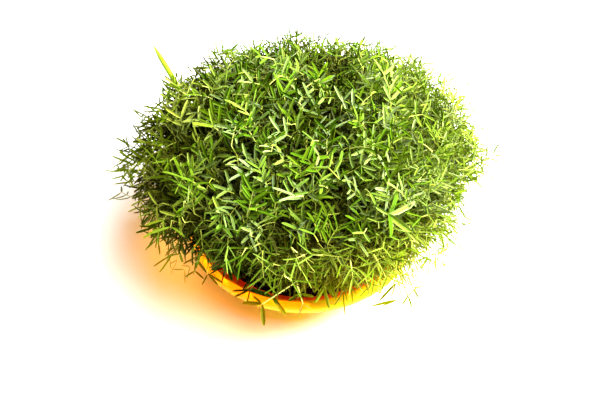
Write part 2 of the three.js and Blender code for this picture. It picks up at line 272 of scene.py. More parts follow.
def mixed(tree, factor, first, second, blend="MIX"):
    mix = node(tree, "ShaderNodeMix", {MIX_FACTOR: factor}, data_type="RGBA", blend_type=blend)
    for index, colour in ((MIX_FIRST, first), (MIX_SECOND, second)):
        feed(tree, mix.inputs[index], (*colour, 1) if isinstance(colour, tuple) else colour)
    return mix.outputs[MIX_RESULT]


def attribute(tree, name):
    return node(tree, "ShaderNodeAttribute", attribute_name=name).outputs["Fac"]


def object_place(tree):
    return node(tree, "ShaderNodeTexCoord").outputs["Object"]


def object_axes(tree):
    return node(tree, "ShaderNodeSeparateXYZ", {"Vector": object_place(tree)}).outputs


def object_noise(tree, scale, detail=4):
    inputs = {"Vector": object_place(tree), "Scale": scale, "Detail": detail}
    return node(tree, "ShaderNodeTexNoise", inputs).outputs["Fac"]


def bumped(tree, shader, height, strength, distance):
    bump = node(tree, "ShaderNodeBump", {"Height": height, "Strength": strength, "Distance": distance})
    tree.links.new(bump.outputs["Normal"], shader.inputs["Normal"])


# %% Dish plastic
PLASTIC_ORANGES = [(0.3, (0.88, 0.47, 0.002)), (0.7, (0.93, 0.53, 0.003))]
PLASTIC_PAINTED_LIGHT_SIDE = (-50 * MM, 60 * MM)
PLASTIC_PAINTED_LIGHT_YELLOW = (1.0, 1.34, 1.5)
INNER_WALL_PAINTED_SHADE = (0.75, 0.08, 0.001)
PLASTIC_CLOUDS = 60
PLASTIC_GRAIN = 900
PLASTIC_ROUGHNESS = (0.24, 0.38)


def dish_plastic():
    material, tree, shader = new_material(
        "orange_plastic",
        IOR=1.5,
        Specular_IOR_Level=0.18,
        Subsurface_Weight=0.35,
        Subsurface_Radius=(1.0, 0.35, 0.05),
        Subsurface_Scale=0.006,
    )
    orange = colour_ramp(tree, object_noise(tree, PLASTIC_CLOUDS), PLASTIC_ORANGES)
    # Painted light: the plastic is made yellower towards the window.
    lit_share = ranged(tree, object_axes(tree)["X"], PLASTIC_PAINTED_LIGHT_SIDE, (0, 1))
    orange = mixed(tree, lit_share, orange, PLASTIC_PAINTED_LIGHT_YELLOW, "MULTIPLY")
    # Painted shade: the inner wall is a deep red, for shade and light bounced between the wall and the soil.
    tree.links.new(mixed(tree, attribute(tree, "inner"), orange, INNER_WALL_PAINTED_SHADE), shader.inputs["Base Color"])
    grain = object_noise(tree, PLASTIC_GRAIN, 2)
    tree.links.new(ranged(tree, grain, (0, 1), PLASTIC_ROUGHNESS), shader.inputs["Roughness"])
    bumped(tree, shader, grain, 0.06, 0.4 * MM)
    return material


orange_plastic = dish_plastic()
print("dish finish:", len(orange_plastic.node_tree.nodes), "nodes")

# %% Dish turned from its profile
DISH_WALL = 1.8 * MM
LIP_ROLL = 4.5 * MM
LIP_FROM = math.radians(135)
LIP_TO = math.radians(-25)
LIP_STEPS = 14
BASE_ROUND = 3 * MM
DISH_SIDES = 160
INNER_STEPS = 4
DISH_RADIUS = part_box("dish")[1].x
DISH_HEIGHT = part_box("dish")[1].z
LIP_CENTRE = (DISH_RADIUS - LIP_ROLL, DISH_HEIGHT - LIP_ROLL)


def arc(centre, radius, start, end, steps):
    angles = [start + (end - start) * i / steps for i in range(steps + 1)]
    return [(centre[0] + radius * math.cos(a), centre[1] + radius * math.sin(a)) for a in angles]


def wall_radius(height, roll):
    """The wall's radius at a height, on the line that runs straight into the lip's arc."""
    start = arc(LIP_CENTRE, roll, LIP_FROM, LIP_FROM, 1)[0]
    return start[0] + height - start[1]


def inner_wall(height):
    return wall_radius(height, LIP_ROLL)


def outer_wall(height):
    return wall_radius(height, LIP_ROLL - DISH_WALL)


def turned(profile, sides):
    """Vertices and faces of a closed body from a profile that starts and ends on the axis."""
    vertices = [(0, 0, profile[0][1]), (0, 0, profile[-1][1])]
    rings = profile[1:-1]
    for radius, height in rings:
        for side in range(sides):
            angle = 2 * math.pi * side / sides
            vertices.append((radius * math.cos(angle), radius * math.sin(angle), height))
    faces = []
    last = 2 + (len(rings) - 1) * sides
    for side in range(sides):
        after = (side + 1) % sides
        faces.append((0, 2 + after, 2 + side))
        faces.append((1, last + side, last + after))
        for ring in range(len(rings) - 1):
            low = 2 + ring * sides
            faces.append((low + side, low + after, low + sides + after, low + sides + side))
    return vertices, faces


def dish_profile():
    foot = BASE_ROUND / 3
    under = arc(LIP_CENTRE, LIP_ROLL - DISH_WALL, LIP_FROM, LIP_TO, LIP_STEPS)
    over = arc(LIP_CENTRE, LIP_ROLL, LIP_TO, LIP_FROM, LIP_STEPS)
    return [
        (0, 0),
        (outer_wall(0) - BASE_ROUND, 0),
        (outer_wall(foot) - foot, foot / 2),
        (outer_wall(foot), foot),
        (outer_wall(DISH_HEIGHT / 2), DISH_HEIGHT / 2),
        *under,
        *over,
        (inner_wall(DISH_HEIGHT / 2), DISH_HEIGHT / 2),
        (inner_wall(DISH_WALL + foot), DISH_WALL + foot),
        (inner_wall(DISH_WALL) - BASE_ROUND, DISH_WALL),
        (0, DISH_WALL),
    ]


def inner_shares():
    """How far inside the dish each vertex is, from 0 on the lip's crest to 1 on the inner wall."""
    rings = dish_profile()[1:-1]
    crest = max(range(len(rings)), key=lambda ring: rings[ring][1])
    shares = [min(1.0, max(0.0, (ring - crest) / INNER_STEPS)) for ring in range(len(rings))]
    return [0.0, 1.0] + [share for share in shares for _ in range(DISH_SIDES)]


dish = mesh_piece("dish_shell", *turned(dish_profile(), DISH_SIDES), orange_plastic)
vertex_values(dish.data, "inner", inner_shares())
stands_for(dish, "dish_plastic", "dish")
wall_lit_pieces.objects.link(dish)

# %% [markdown]
# ## The soil
#
# The soil is dark and damp, with a red cast painted on in patches for light from the orange plastic
# around it. Crumbs could be made one by one, but leaves hide most of them. So the bed is a turned body
# whose top is pushed up and down by noise, less towards its edge, so that it meets the dish evenly.

# %% Soil finish
SOIL_BROWNS = [(0.35, (0.004, 0.001, 0.001)), (0.68, (0.030, 0.006, 0.004))]
SOIL_PAINTED_PLASTIC_LIGHT = (0.045, 0.004, 0.003)
SOIL_GRAIN = 700
SOIL_PATCHES = 90


def soil_material():
    material, tree, shader = new_material("damp_soil", Roughness=0.8, Specular_IOR_Level=0.1)
    grain = object_noise(tree, SOIL_GRAIN, 8)
    dark = colour_ramp(tree, grain, SOIL_BROWNS)
    # Painted light: red patches from the orange plastic around the bed.
    plastic_lit = mixed(tree, object_noise(tree, SOIL_PATCHES, 3), dark, SOIL_PAINTED_PLASTIC_LIGHT, "SCREEN")
    tree.links.new(plastic_lit, shader.inputs["Base Color"])
    bumped(tree, shader, grain, 0.8, 2 * MM)
    return material


damp_soil = soil_material()
print("soil finish:", len(damp_soil.node_tree.nodes), "nodes")

# %% Soil bed
SOIL_SIDES = 120
SOIL_RINGS = 26
SOIL_TOP = 24 * MM
SOIL_CROWN = 1.5 * MM
SOIL_LUMP = 1.6 * MM
SOIL_LUMPS_PER_METRE = 130
SOIL_ROUGHNESS, SOIL_FINER, SOIL_OCTAVES = 0.9, 2.0, 4
SOIL_EVEN_EDGE = 0.25
SOIL_GAP = 0.5 * MM
SOIL_EDGE = inner_wall(SOIL_TOP) - SOIL_GAP


def soil_height(x, y):
    share = math.hypot(x, y) / SOIL_EDGE
    place = Vector((x, y, 0)) * SOIL_LUMPS_PER_METRE
    lump = noise.fractal(place, SOIL_ROUGHNESS, SOIL_FINER, SOIL_OCTAVES)
    return SOIL_TOP + SOIL_CROWN * (1 - share**2) + SOIL_LUMP * lump * min(1, (1 - share) / SOIL_EVEN_EDGE)


def soil_bed():
    floor_height = DISH_WALL + SOIL_GAP
    low_edge = inner_wall(floor_height) - BASE_ROUND
    rings = [(SOIL_EDGE * (1 - i / SOIL_RINGS), SOIL_TOP) for i in range(SOIL_RINGS)]
    profile = [(0, floor_height), (low_edge, floor_height), *rings, (0, SOIL_TOP)]
    vertices, faces = turned(profile, SOIL_SIDES)
    return [(x, y, soil_height(x, y) if z >= SOIL_TOP else z) for x, y, z in vertices], faces


stands_for(mesh_piece("soil_bed", *soil_bed(), damp_soil), "damp_soil", "soil")

# %% [markdown]
# ## Leaves
#
# A lentil seedling's leaf is a thin pale rib with pairs of narrow leaflets, each folded a little
# along its middle. A flat card would do for its outline, but the fold catches the light on one half.
# A leaflet here is a closed blade with sharp edges, of about thirty triangles, because thousands of
# them follow. Patterns of whole leaves are made first, with one to three pairs at different angles,
# and the shoots pick among them.
# Two attributes ride on every vertex: `leafness` tells leaflets from ribs and stems, and `vein`
# runs from the middle of a leaflet to its edge, so that one finish can colour both. A drawn plant
# adds its `tint`, and `inside` for the hidden part of its stem.

# %% Leaflet and rib
# Shares of a leaflet's length, each with the share of its half width there.
LEAFLET_STATIONS = ((0.08, 0.58), (0.28, 1.0), (0.74, 0.98), (0.94, 0.58))
LEAFLET_THICK = 0.14 * MM
LEAFLET_FOLD = 0.8
UNDER_VEIN, TIP_VEIN = 0.3, 0.6
RIB_RADIUS = 0.34 * MM
LEAF_RIB = (1.2 * RIB_RADIUS, 0.7 * RIB_RADIUS)
RIB_SIDES = 3
RIB_STEPS = 4
HIDDEN_STEM_SHADE = 0.5


class LeafPattern:
    """Vertices, faces and attributes of one leaf along +X, with its upper side towards +Z."""

    def __init__(self):
        self.vertices, self.faces = [], []
        self.leafness, self.vein = [], []
        self.tint, self.tints = 0.5, []
        self.inside, self.insides = 0.0, []

    def vertex(self, spot, leafness, vein):
        self.vertices.append(spot)
        self.leafness.append(leafness)
        self.vein.append(vein)
        self.tints.append(self.tint)
        self.insides.append(self.inside)
        return len(self.vertices) - 1

    def leaflet(self, root, along, face, length, half_width, droop):
        side = face.cross(along).normalized()
        middle = [root + along * (length * t) - face * (droop * length * t * t) for t, _ in LEAFLET_STATIONS]
        base = self.vertex(root, 1, 0)
        tip = self.vertex(root + along * length - face * (droop * length), 1, TIP_VEIN)
        top = [self.vertex(spot + face * LEAFLET_THICK, 1, 0) for spot in middle]
        under = [self.vertex(spot - face * LEAFLET_THICK, 1, UNDER_VEIN) for spot in middle]
        for sign in (1, -1):
            edge = []
            for spot, (_, width) in zip(middle, LEAFLET_STATIONS):
                reach = half_width * width
                edge.append(self.vertex(spot + side * (sign * reach) + face * (LEAFLET_FOLD * reach), 1, 1))
            for row, facing_up in ((top, sign), (under, -sign)):
                strip = [(base, row[0], edge[0])]
                strip += [(row[i], row[i + 1], edge[i + 1], edge[i]) for i in range(len(row) - 1)]
                strip += [(row[-1], tip, edge[-1])]
                self.faces += strip if facing_up > 0 else [corners[::-1] for corners in strip]

    def rib(self, path, start_radius, end_radius, hidden=0):
        """A rib or stem along a path. Its first few rings can get painted shade, as if hidden deep in the
        dome.
        """
        rings = []
        for index, spot in enumerate(path):
            self.inside = HIDDEN_STEM_SHADE if index < hidden else 0.0
            ahead = path[min(index + 1, len(path) - 1)] - path[max(index - 1, 0)]
            side = Vector((0, 1, 0))
            up = ahead.normalized().cross(side)
            radius = start_radius + (end_radius - start_radius) * index / (len(path) - 1)
            turns = [2 * math.pi * i / RIB_SIDES for i in range(RIB_SIDES)]
            round_spots = [spot + (side * math.cos(t) + up * math.sin(t)) * radius for t in turns]
            rings.append([self.vertex(place, 0, 0) for place in round_spots])
        self.inside = 0.0
        for low, high in zip(rings, rings[1:]):
            for i in range(RIB_SIDES):
                after = (i + 1) % RIB_SIDES
                self.faces.append((low[i], low[after], high[after], high[i]))
        self.faces.append(tuple(reversed(rings[0])))
        self.faces.append(tuple(rings[-1]))

    def mesh(self, name):
        mesh = new_mesh(name, self.vertices, self.faces)
        vertex_values(mesh, "leafness", self.leafness)
        vertex_values(mesh, "vein", self.vein)
        return mesh


# %% Leaf patterns
# Pairs, step between them, spread in degrees, leaflet length and half width as a share of it.
LEAF_KINDS = (
    (1, 5.0 * MM, 30, 14.0 * MM, 0.070),
    (1, 5.0 * MM, 48, 12.5 * MM, 0.088),
    (2, 5.5 * MM, 40, 13.0 * MM, 0.076),
    (2, 5.0 * MM, 58, 12.0 * MM, 0.088),
    (1, 6.0 * MM, 18, 14.5 * MM, 0.064),
    (2, 6.0 * MM, 30, 13.5 * MM, 0.080),
    (3, 4.8 * MM, 46, 12.0 * MM, 0.072),
    (1, 4.0 * MM, 66, 12.0 * MM, 0.092),
)
PATTERN_SEED = 5
FIRST_PAIR = 5 * MM
RIB_END = 0.6 * MM
RIB_DROOP = (0.1, 0.35)
FIRST_SIZE = 0.82
FIRST_SPREAD, LESS_SPREAD = 1.12, 0.24
SPREAD_VARIES = (-11, 11)
LEAFLET_LIFT = (-0.1, 0.35)
LEAFLET_PITCH = (-0.3, 0.1)
LEAFLET_ROLL = 0.35
LENGTH_VARIES = (0.86, 1.1)
LEAFLET_DROOP = (-0.12, 0.26)
SLENDER_SHARE = 0.8
FINE_SHARE = 0.5


def leaf_pattern(pairs, step, spread, length, slim, stream):
    """A leaf with pairs of leaflets along a rib that droops towards its tip."""
    leaf = LeafPattern()
    stations = [FIRST_PAIR + step * pair for pair in range(pairs)]
    end = stations[-1] + RIB_END
    droop = stream.uniform(*RIB_DROOP)

    def rib_spot(x):
        return Vector((x, 0, -droop * x * x / end))

    leaf.rib([rib_spot(end * i / RIB_STEPS) for i in range(RIB_STEPS + 1)], *LEAF_RIB)
    for pair, x in enumerate(stations):
        size = length * (FIRST_SIZE + (1 - FIRST_SIZE) * (pair + 1) / pairs)
        opening = spread * (FIRST_SPREAD - LESS_SPREAD * pair / pairs)
        for sign in (1, -1):
            angle = math.radians(opening + stream.uniform(*SPREAD_VARIES))
            lift = stream.uniform(*LEAFLET_LIFT)
            along = Vector((math.cos(angle), sign * math.sin(angle), lift)).normalized()
            face = Vector((stream.uniform(*LEAFLET_PITCH), -sign * LEAFLET_ROLL * stream.random(), 1))
            face = (face - along * face.dot(along)).normalized()
            reach = size * stream.uniform(*LENGTH_VARIES)
            leaf.leaflet(rib_spot(x), along, face, reach, reach * slim, stream.uniform(*LEAFLET_DROOP))
    return leaf


def leaf_patterns(name, width_share):
    """A collection of one leaf of each kind, with its leaflets made slimmer by a share."""
    stream = random.Random(PATTERN_SEED)
    made = bpy.data.collections.new(name)
    for index, (*shape, slim) in enumerate(LEAF_KINDS):
        mesh = leaf_pattern(*shape, slim * width_share, stream).mesh(f"{name}_{index}")
        made.objects.link(bpy.data.objects.new(mesh.name, mesh))
    return made


common_leaves = leaf_patterns("common_leaf", 1)
slender_leaves = leaf_patterns("slender_leaf", SLENDER_SHARE)
fine_leaves = leaf_patterns("fine_leaf", FINE_SHARE)

# %% [markdown]
# ## The finish of leaves and stems
#
# Leaves and stems could have finishes of their own, but the attributes let one finish serve the whole
# seedling. A random tint for each leaf spreads the greens from deep to yellowish, the middle vein, the
# edges and the ribs are paler, with a painted highlight on the vein and the edges, and a part of the
# light goes through the blade, which makes leaves against the window glow. Painted light makes leaves
# paler towards the window, painted shade makes them duller on the far side and makes leaves and stems
# dark deep inside the dome, and painted orange light from the dish warms the leaves just over it.

# %% Helpers for the leaf finish


def number_math(tree, operation, *values):
    return node(tree, "ShaderNodeMath", dict(enumerate(values)), operation=operation).outputs["Value"]


def let_light_through(tree, shader, share, colour):
    """Gives up a share of the shader for light that comes through from behind, in a colour."""
    through = node(tree, "ShaderNodeBsdfTranslucent", {"Color": colour}).outputs["BSDF"]
    mix = node(tree, "ShaderNodeMixShader", {0: share, 1: shader.outputs["BSDF"], 2: through})
    tree.links.new(mix.outputs["Shader"], tree.nodes["Material Output"].inputs["Surface"])


# %% Seedling finish
LEAF_GREENS = [
    (0.0, (0.042, 0.090, 0.001)),
    (0.35, (0.088, 0.165, 0.003)),
    (0.65, (0.160, 0.246, 0.018)),
    (0.9, (0.206, 0.290, 0.050)),
    (1.0, (0.230, 0.308, 0.078)),
]
# A stem's colours from its tip, at 0, to its root, with painted shade where it runs deep inside the dome.
STALK_COLOURS_AND_SHADE = [
    (0.0, (0.60, 0.66, 0.14)),
    (0.015, (0.28, 0.32, 0.04)),
    (0.2, (0.09, 0.09, 0.008)),
    (0.45, (0.10, 0.10, 0.012)),
    (0.7, (0.22, 0.20, 0.05)),
    (0.95, (0.16, 0.07, 0.03)),
]
# Painted light makes leaves towards the window paler; painted shade makes leaves on the far side duller and
# darker.
LEAF_PAINTED_LIGHT_SIDE, LEAF_PAINTED_LIGHT_GREEN, LEAF_PAINTED_LIGHT_TINT = (20 * MM, 115 * MM), (1.18, 1.07, 0.72), 0.32
LEAF_PAINTED_SHADE_SIDE, LEAF_PAINTED_SHADE_GREEN = (-45 * MM, -100 * MM), (0.98, 0.76, 0.38)
# Painted orange light from the dish: low leaves take a warmer green, more so towards the window, and leaves
# just over the lip get a glow added.
DISH_LIGHT_HEIGHTS, DISH_LIGHT_SHARES = (110 * MM, 65 * MM), (0, 0.8)
PAINTED_DISH_LIGHT_GREEN, PAINTED_DISH_AND_WINDOW_GREEN = (1.06, 0.86, 0.40), (1.22, 1.10, 0.40)
DISH_GLOW_FROM, DISH_GLOW_TO, DISH_GLOW = (-30 * MM, 30 * MM), (55 * MM, 95 * MM), (0.20, 0.14, 0.0)
MOTTLE_GRAIN, MOTTLE = 260, (0.7, 1.25)
HUES, TINTS_TO_HUES = (0.493, 0.516), 23.0
PALE_VEINS_AND_HIGHLIGHTS = (1.80, 1.68, 4.8)
# Ranges of an attribute, each with the shares that they give.
EDGE_VEIN, EDGE_PALE = (0.6, 1), (0, 0.75)
MIDDLE_VEIN, MIDDLE_PALE = (0, 0.16), (0.6, 0)
SHADE_DEPTHS, SHADE_SHARES, LIT_SIDE_SHADE_SHARES = (0.025, 0.12), (0, 0.93), (1, 0.2)
DEEP_SHADE, LIT_SIDE_DEEP_SHADE = (0.026, 0.026, 0.001), (0.06, 0.10, 0.002)
LIGHT_THROUGH, LEAF_THROUGH_SHARE = (0.20, 0.34, 0.01), 0.16


def seedling_material():
    material, tree, shader = new_material("seedling_green", Roughness=0.42, Specular_IOR_Level=0.02)
    vein, inside = attribute(tree, "vein"), attribute(tree, "inside")
    across, _, height = object_axes(tree)
    window_light = ranged(tree, across, LEAF_PAINTED_LIGHT_SIDE, (0, 1))
    far_side_shade = ranged(tree, across, LEAF_PAINTED_SHADE_SIDE, (0, 1))
    dish_light = ranged(tree, height, DISH_LIGHT_HEIGHTS, DISH_LIGHT_SHARES)

    tint = number_math(tree, "MULTIPLY_ADD", window_light, LEAF_PAINTED_LIGHT_TINT, attribute(tree, "tint"))
    draw = number_math(tree, "FRACT", number_math(tree, "MULTIPLY", tint, TINTS_TO_HUES))
    blade = node(tree, "ShaderNodeHueSaturation", {
        "Color": colour_ramp(tree, tint, LEAF_GREENS),
        "Value": ranged(tree, object_noise(tree, MOTTLE_GRAIN), (0, 1), MOTTLE),
        "Hue": ranged(tree, draw, (0, 1), HUES),
    }).outputs["Color"]
    edge = ranged(tree, vein, EDGE_VEIN, EDGE_PALE)
    middle = ranged(tree, vein, MIDDLE_VEIN, MIDDLE_PALE)
    # The edges and the middle vein are paler for real, and the strong, bluish lift is a painted highlight.
    pale = mixed(tree, 1.0, blade, PALE_VEINS_AND_HIGHLIGHTS, "MULTIPLY")
    blade = mixed(tree, number_math(tree, "ADD", edge, middle), blade, pale)
    blade = mixed(tree, window_light, blade, LEAF_PAINTED_LIGHT_GREEN, "MULTIPLY")
    blade = mixed(tree, far_side_shade, blade, LEAF_PAINTED_SHADE_GREEN, "MULTIPLY")
    blade = mixed(tree, dish_light, blade, mixed(tree, window_light, PAINTED_DISH_LIGHT_GREEN, PAINTED_DISH_AND_WINDOW_GREEN), "MULTIPLY")

    # Painted shade: leaves deep inside the dome or at sunk tips darken, less on the window side.
    shaded = ranged(tree, inside, SHADE_DEPTHS, SHADE_SHARES)
    shaded = number_math(tree, "MULTIPLY", shaded, ranged(tree, window_light, (0, 1), LIT_SIDE_SHADE_SHARES))
    leaf = mixed(tree, shaded, blade, mixed(tree, window_light, DEEP_SHADE, LIT_SIDE_DEEP_SHADE))
    colour = mixed(tree, attribute(tree, "leafness"), colour_ramp(tree, inside, STALK_COLOURS_AND_SHADE), leaf)
    # Painted dish glow, added on low leaves over the lip.
    begins = ranged(tree, across, DISH_GLOW_FROM, (0, 1))
    ends = ranged(tree, across, DISH_GLOW_TO, (1, 0))
    dish_glow_share = number_math(tree, "MULTIPLY", dish_light, number_math(tree, "MULTIPLY", begins, ends))
    colour = mixed(tree, dish_glow_share, colour, DISH_GLOW, "ADD")
    tree.links.new(colour, shader.inputs["Base Color"])
    let_light_through(tree, shader, LEAF_THROUGH_SHARE, mixed(tree, 0.5, colour, LIGHT_THROUGH))
    return material


seedling_green = seedling_material()
print("seedling finish:", len(seedling_green.node_tree.nodes), "nodes")

# %% [markdown]
# ## The node tree that dresses a shoot
#
# A shoot is a line from its root in the soil to its tip in the dome. The tree makes two things of
# it: a tapered stem along the whole line, and leaves along its last stretch, each turned round the
# stem by the golden angle, leaning away from it and facing out of the dome. The script could place
# each leaf, but a tree works the same for one shoot or for a hundred, on one mesh of lines.

# %% Helpers for geometry trees


def new_tree(name, inputs):
    tree = bpy.data.node_groups.new(name, "GeometryNodeTree")
    tree.interface.new_socket("Geometry", in_out="INPUT", socket_type="NodeSocketGeometry")
    for label, kind in inputs.items():
        tree.interface.new_socket(label, in_out="INPUT", socket_type=f"NodeSocket{kind}")
    tree.interface.new_socket("Geometry", in_out="OUTPUT", socket_type="NodeSocketGeometry")
    return tree, node(tree, "NodeGroupInput").outputs


def vector_math(tree, operation, *values):
    made = node(tree, "ShaderNodeVectorMath", dict(enumerate(values)), operation=operation)
    return made.outputs["Vector"]


def scaled_vector(tree, vector, factor):
    made = node(tree, "ShaderNodeVectorMath", {0: vector, "Scale": factor}, operation="SCALE")
    return made.outputs["Vector"]


def in_use(sockets, name):
    """The socket of a name for the node's kind of data, of those that it keeps for every kind."""
    return next(socket for socket in sockets if socket.enabled and socket.name == name)


def random_value(tree, kind, least, most, seed=0):
    made = node(tree, "FunctionNodeRandomValue", data_type=kind)
    for name, value in (("Min", least), ("Max", most), ("Seed", seed)):
        feed(tree, in_use(made.inputs, name), value)
    return in_use(made.outputs, "Value")


def named_value(tree, name, kind):
    made = node(tree, "GeometryNodeInputNamedAttribute", {"Name": name}, data_type=kind)
    return in_use(made.outputs, "Attribute")


def stored(tree, geometry, name, value, domain="POINT"):
    made = node(tree, "GeometryNodeStoreNamedAttribute", {"Geometry": geometry, "Name": name},
                data_type="FLOAT", domain=domain)
    feed(tree, in_use(made.inputs, "Value"), value)
    return made.outputs["Geometry"]


def strewn(tree, points, collection, kinds, seed, rotation, size):
    """Instances on points, each picked at random among the objects of a collection."""
    patterns = node(tree, "GeometryNodeCollectionInfo", {
        "Collection": collection,
        "Separate Children": True,
        "Reset Children": True,
    })
    return node(tree, "GeometryNodeInstanceOnPoints", {
        "Points": points,
        "Instance": patterns.outputs["Instances"],
        "Pick Instance": True,
        "Instance Index": random_value(tree, "INT", 0, kinds - 1, seed),
        "Rotation": rotation,
        "Scale": size,
    }).outputs["Instances"]


def end_tree(tree, geometry, finish):
    """Makes a tree's instances real, gives them their finish and leads them to its output."""
    real = node(tree, "GeometryNodeRealizeInstances", {"Geometry": geometry}).outputs["Geometry"]
    dressed = node(tree, "GeometryNodeSetMaterial", {"Geometry": real, "Material": finish})
    node(tree, "NodeGroupOutput", {"Geometry": dressed.outputs["Geometry"]})
    print(tree.name, "tree:", len(tree.nodes), "nodes")


# %% Leafy shoots tree
GOLDEN_ANGLE = math.pi * (3 - math.sqrt(5))
STEM_SIDES = 5
STEM_TIP_SHARE = 0.5
STEM_TINTS = (0.0, 0.7)
TINT_SEED_STEP = 7.0
SHOOT_INPUTS = {
    "Stem Radius": "Float",
    "Leafy Share": "Float",
    "Leaves Per Shoot": "Int",
    "Spread": "Float",
    "Outward": "Float",
    "Droop": "Float",
    "Tumble": "Float",
    "Least Size": "Float",
    "Most Size": "Float",
    "Least Tint": "Float",
    "Most Tint": "Float",
    "Leaves": "Collection",
    "Finish": "Material",
    "Seed": "Int",
}


def leafy_shoots_tree():
    tree, given = new_tree("leafy_shoots", SHOOT_INPUTS)
    seed = given["Seed"]
    shoots = node(tree, "GeometryNodeMeshToCurve", {"Mesh": given["Geometry"]}).outputs["Curve"]

    along_stem = node(tree, "GeometryNodeSplineParameter").outputs["Factor"]
    below_tip = number_math(tree, "SUBTRACT", 1.0, along_stem)
    # The inside value grows down from the tip and with the tip's sunk depth, and the finish paints shade by
    # it.
    depth = number_math(tree, "ADD", below_tip, named_value(tree, "sunk", "FLOAT"))
    shoots = stored(tree, shoots, "inside", depth)
    taper = ranged(tree, along_stem, (0, 1), (1, STEM_TIP_SHARE))
    thick = node(tree, "GeometryNodeSetCurveRadius", {"Curve": shoots, "Radius": taper})
    section = node(tree, "GeometryNodeCurvePrimitiveCircle", {
        "Resolution": STEM_SIDES,
        "Radius": given["Stem Radius"],
    })
    stem = node(tree, "GeometryNodeCurveToMesh", {
        "Curve": thick.outputs["Curve"],
        "Profile Curve": section.outputs["Curve"],
        "Scale": taper,
        "Fill Caps": True,
    })
    stems = stored(tree, stem.outputs["Mesh"], "leafness", 0.0)
    stems = stored(tree, stems, "tint", random_value(tree, "FLOAT", *STEM_TINTS, seed))

    leafy = node(tree, "GeometryNodeTrimCurve", {
        "Curve": shoots,
        "Start": number_math(tree, "SUBTRACT", 1.0, given["Leafy Share"]),
        "End": 1.0,
    }, mode="FACTOR")
    spots = node(tree, "GeometryNodeCurveToPoints", {
        "Curve": leafy.outputs["Curve"],
        "Count": given["Leaves Per Shoot"],
    }, mode="COUNT").outputs
    tangent, normal = spots["Tangent"], spots["Normal"]
    binormal = vector_math(tree, "CROSS_PRODUCT", tangent, normal)
    turn = number_math(tree, "MULTIPLY", node(tree, "GeometryNodeInputIndex").outputs["Index"], GOLDEN_ANGLE)
    around = vector_math(
        tree, "ADD",
        scaled_vector(tree, normal, number_math(tree, "COSINE", turn)),
        scaled_vector(tree, binormal, number_math(tree, "SINE", turn)),
    )
    outward = named_value(tree, "outward", "FLOAT_VECTOR")
    rib_way = vector_math(tree, "ADD", tangent, scaled_vector(tree, around, given["Spread"]))
    rib_way = vector_math(tree, "ADD", rib_way, scaled_vector(tree, outward, given["Outward"]))
    rib_way = vector_math(tree, "ADD", rib_way, scaled_vector(tree, (0, 0, -1), given["Droop"]))
    loose = random_value(tree, "FLOAT_VECTOR", (-1, -1, -1), (1, 1, 1), seed)
    blade_way = vector_math(tree, "ADD", outward, scaled_vector(tree, loose, given["Tumble"]))
    pose = node(tree, "FunctionNodeAxesToRotation", {0: rib_way, 1: blade_way},
                primary_axis="X", secondary_axis="Z")

    size = random_value(tree, "FLOAT", given["Least Size"], given["Most Size"], seed)
    leaves = strewn(
        tree, spots["Points"], given["Leaves"], len(LEAF_KINDS), seed, pose.outputs["Rotation"], size
    )
    tint_seed = number_math(tree, "ADD", seed, TINT_SEED_STEP)
    tints = random_value(tree, "FLOAT", given["Least Tint"], given["Most Tint"], tint_seed)
    both = node(tree, "GeometryNodeJoinGeometry")
    tree.links.new(stems, both.inputs["Geometry"])
    tree.links.new(stored(tree, leaves, "tint", tints, "INSTANCE"), both.inputs["Geometry"])
    end_tree(tree, both.outputs["Geometry"], given["Finish"])
    return tree


leafy_shoots = leafy_shoots_tree()

# %% [markdown]
# ## Shoots of the dome
#
# The dome is a flattened ball. Tips are spread evenly over it by the golden angle, from its top
# down to a skirt under its widest ring, and pushed in or out a little. Each shoot starts where the
# line from its tip to a point below the dish leaves the soil, so shoots fan out as they do in the
# photograph, and those of the skirt arch over and hang down past the lip.
# A shoot belongs to the clump whose stems in the frame stand nearest to its line.

# %% Dome of shoots
DOME_RADIUS = 114 * MM
DOME_HALF_HEIGHT = 35 * MM
DOME_LOWEST = -0.75
DOME_CENTRE = DOME_MIDDLE + Vector((5, 3, 0)) * MM
FAN_POINT = Vector((0, 0, -75)) * MM
SHOOT_COUNT = 1550
SHOOT_SEED = 3
AREA_STEPS = 600
TIP_DEPTH = 9 * MM
HOLLOW_DEPTH = 26 * MM
HOLLOWS_PER_METRE = 38
SHADE_PER_METRE = 6
# Sectors by their turn in degrees, the least share of the way there and the lowest height of tips.
BARE_SECTORS = ((240, 0.95, 0.24), (254, 0.82, 0.06), (300, 0.95, -0.2), (335, 0.90, -0.1))
BACK_TURN = 82
BACK_SHARE = 0.2
SIDE_LOWEST = -0.6
SAG = 17 * MM
SAG_WAY = Vector((-0.85, -0.53, 0))
BULGES = ((198, 8.5 * MM), (4, 6 * MM))
BULGE_FOCUS = 3
STRAY_BULGE = 0.5
STRAY_SHARE = 0.05
STRAY_REACH = 3 * MM
TIP_SHIFT = 3.5 * MM
TIP_RUN = 22 * MM
BEND = 6 * MM
ROOT_DEPTH = 4 * MM
FAN_INSET = 0.93
FAN_LOWEST = DOME_MIDDLE.z - 4 * MM
LINE_STEPS = 9
SKIRT_FROM = 0.25
SKIRT_ARCH = 32 * MM


def even_heights(count):
    """Heights from 1 down to DOME_LOWEST that share the dome's area evenly."""
    heights = [1 - (1 - DOME_LOWEST) * i / AREA_STEPS for i in range(AREA_STEPS + 1)]
    areas = [0.0]
    for up in heights:
        areas.append(areas[-1] + math.hypot(DOME_RADIUS * up, DOME_HALF_HEIGHT * math.sqrt(1 - up * up)))
    found, place = [], 0
    for i in range(count):
        while areas[place + 1] < areas[-1] * (i + 0.5) / count:
            place += 1
        found.append(heights[place])
    return found


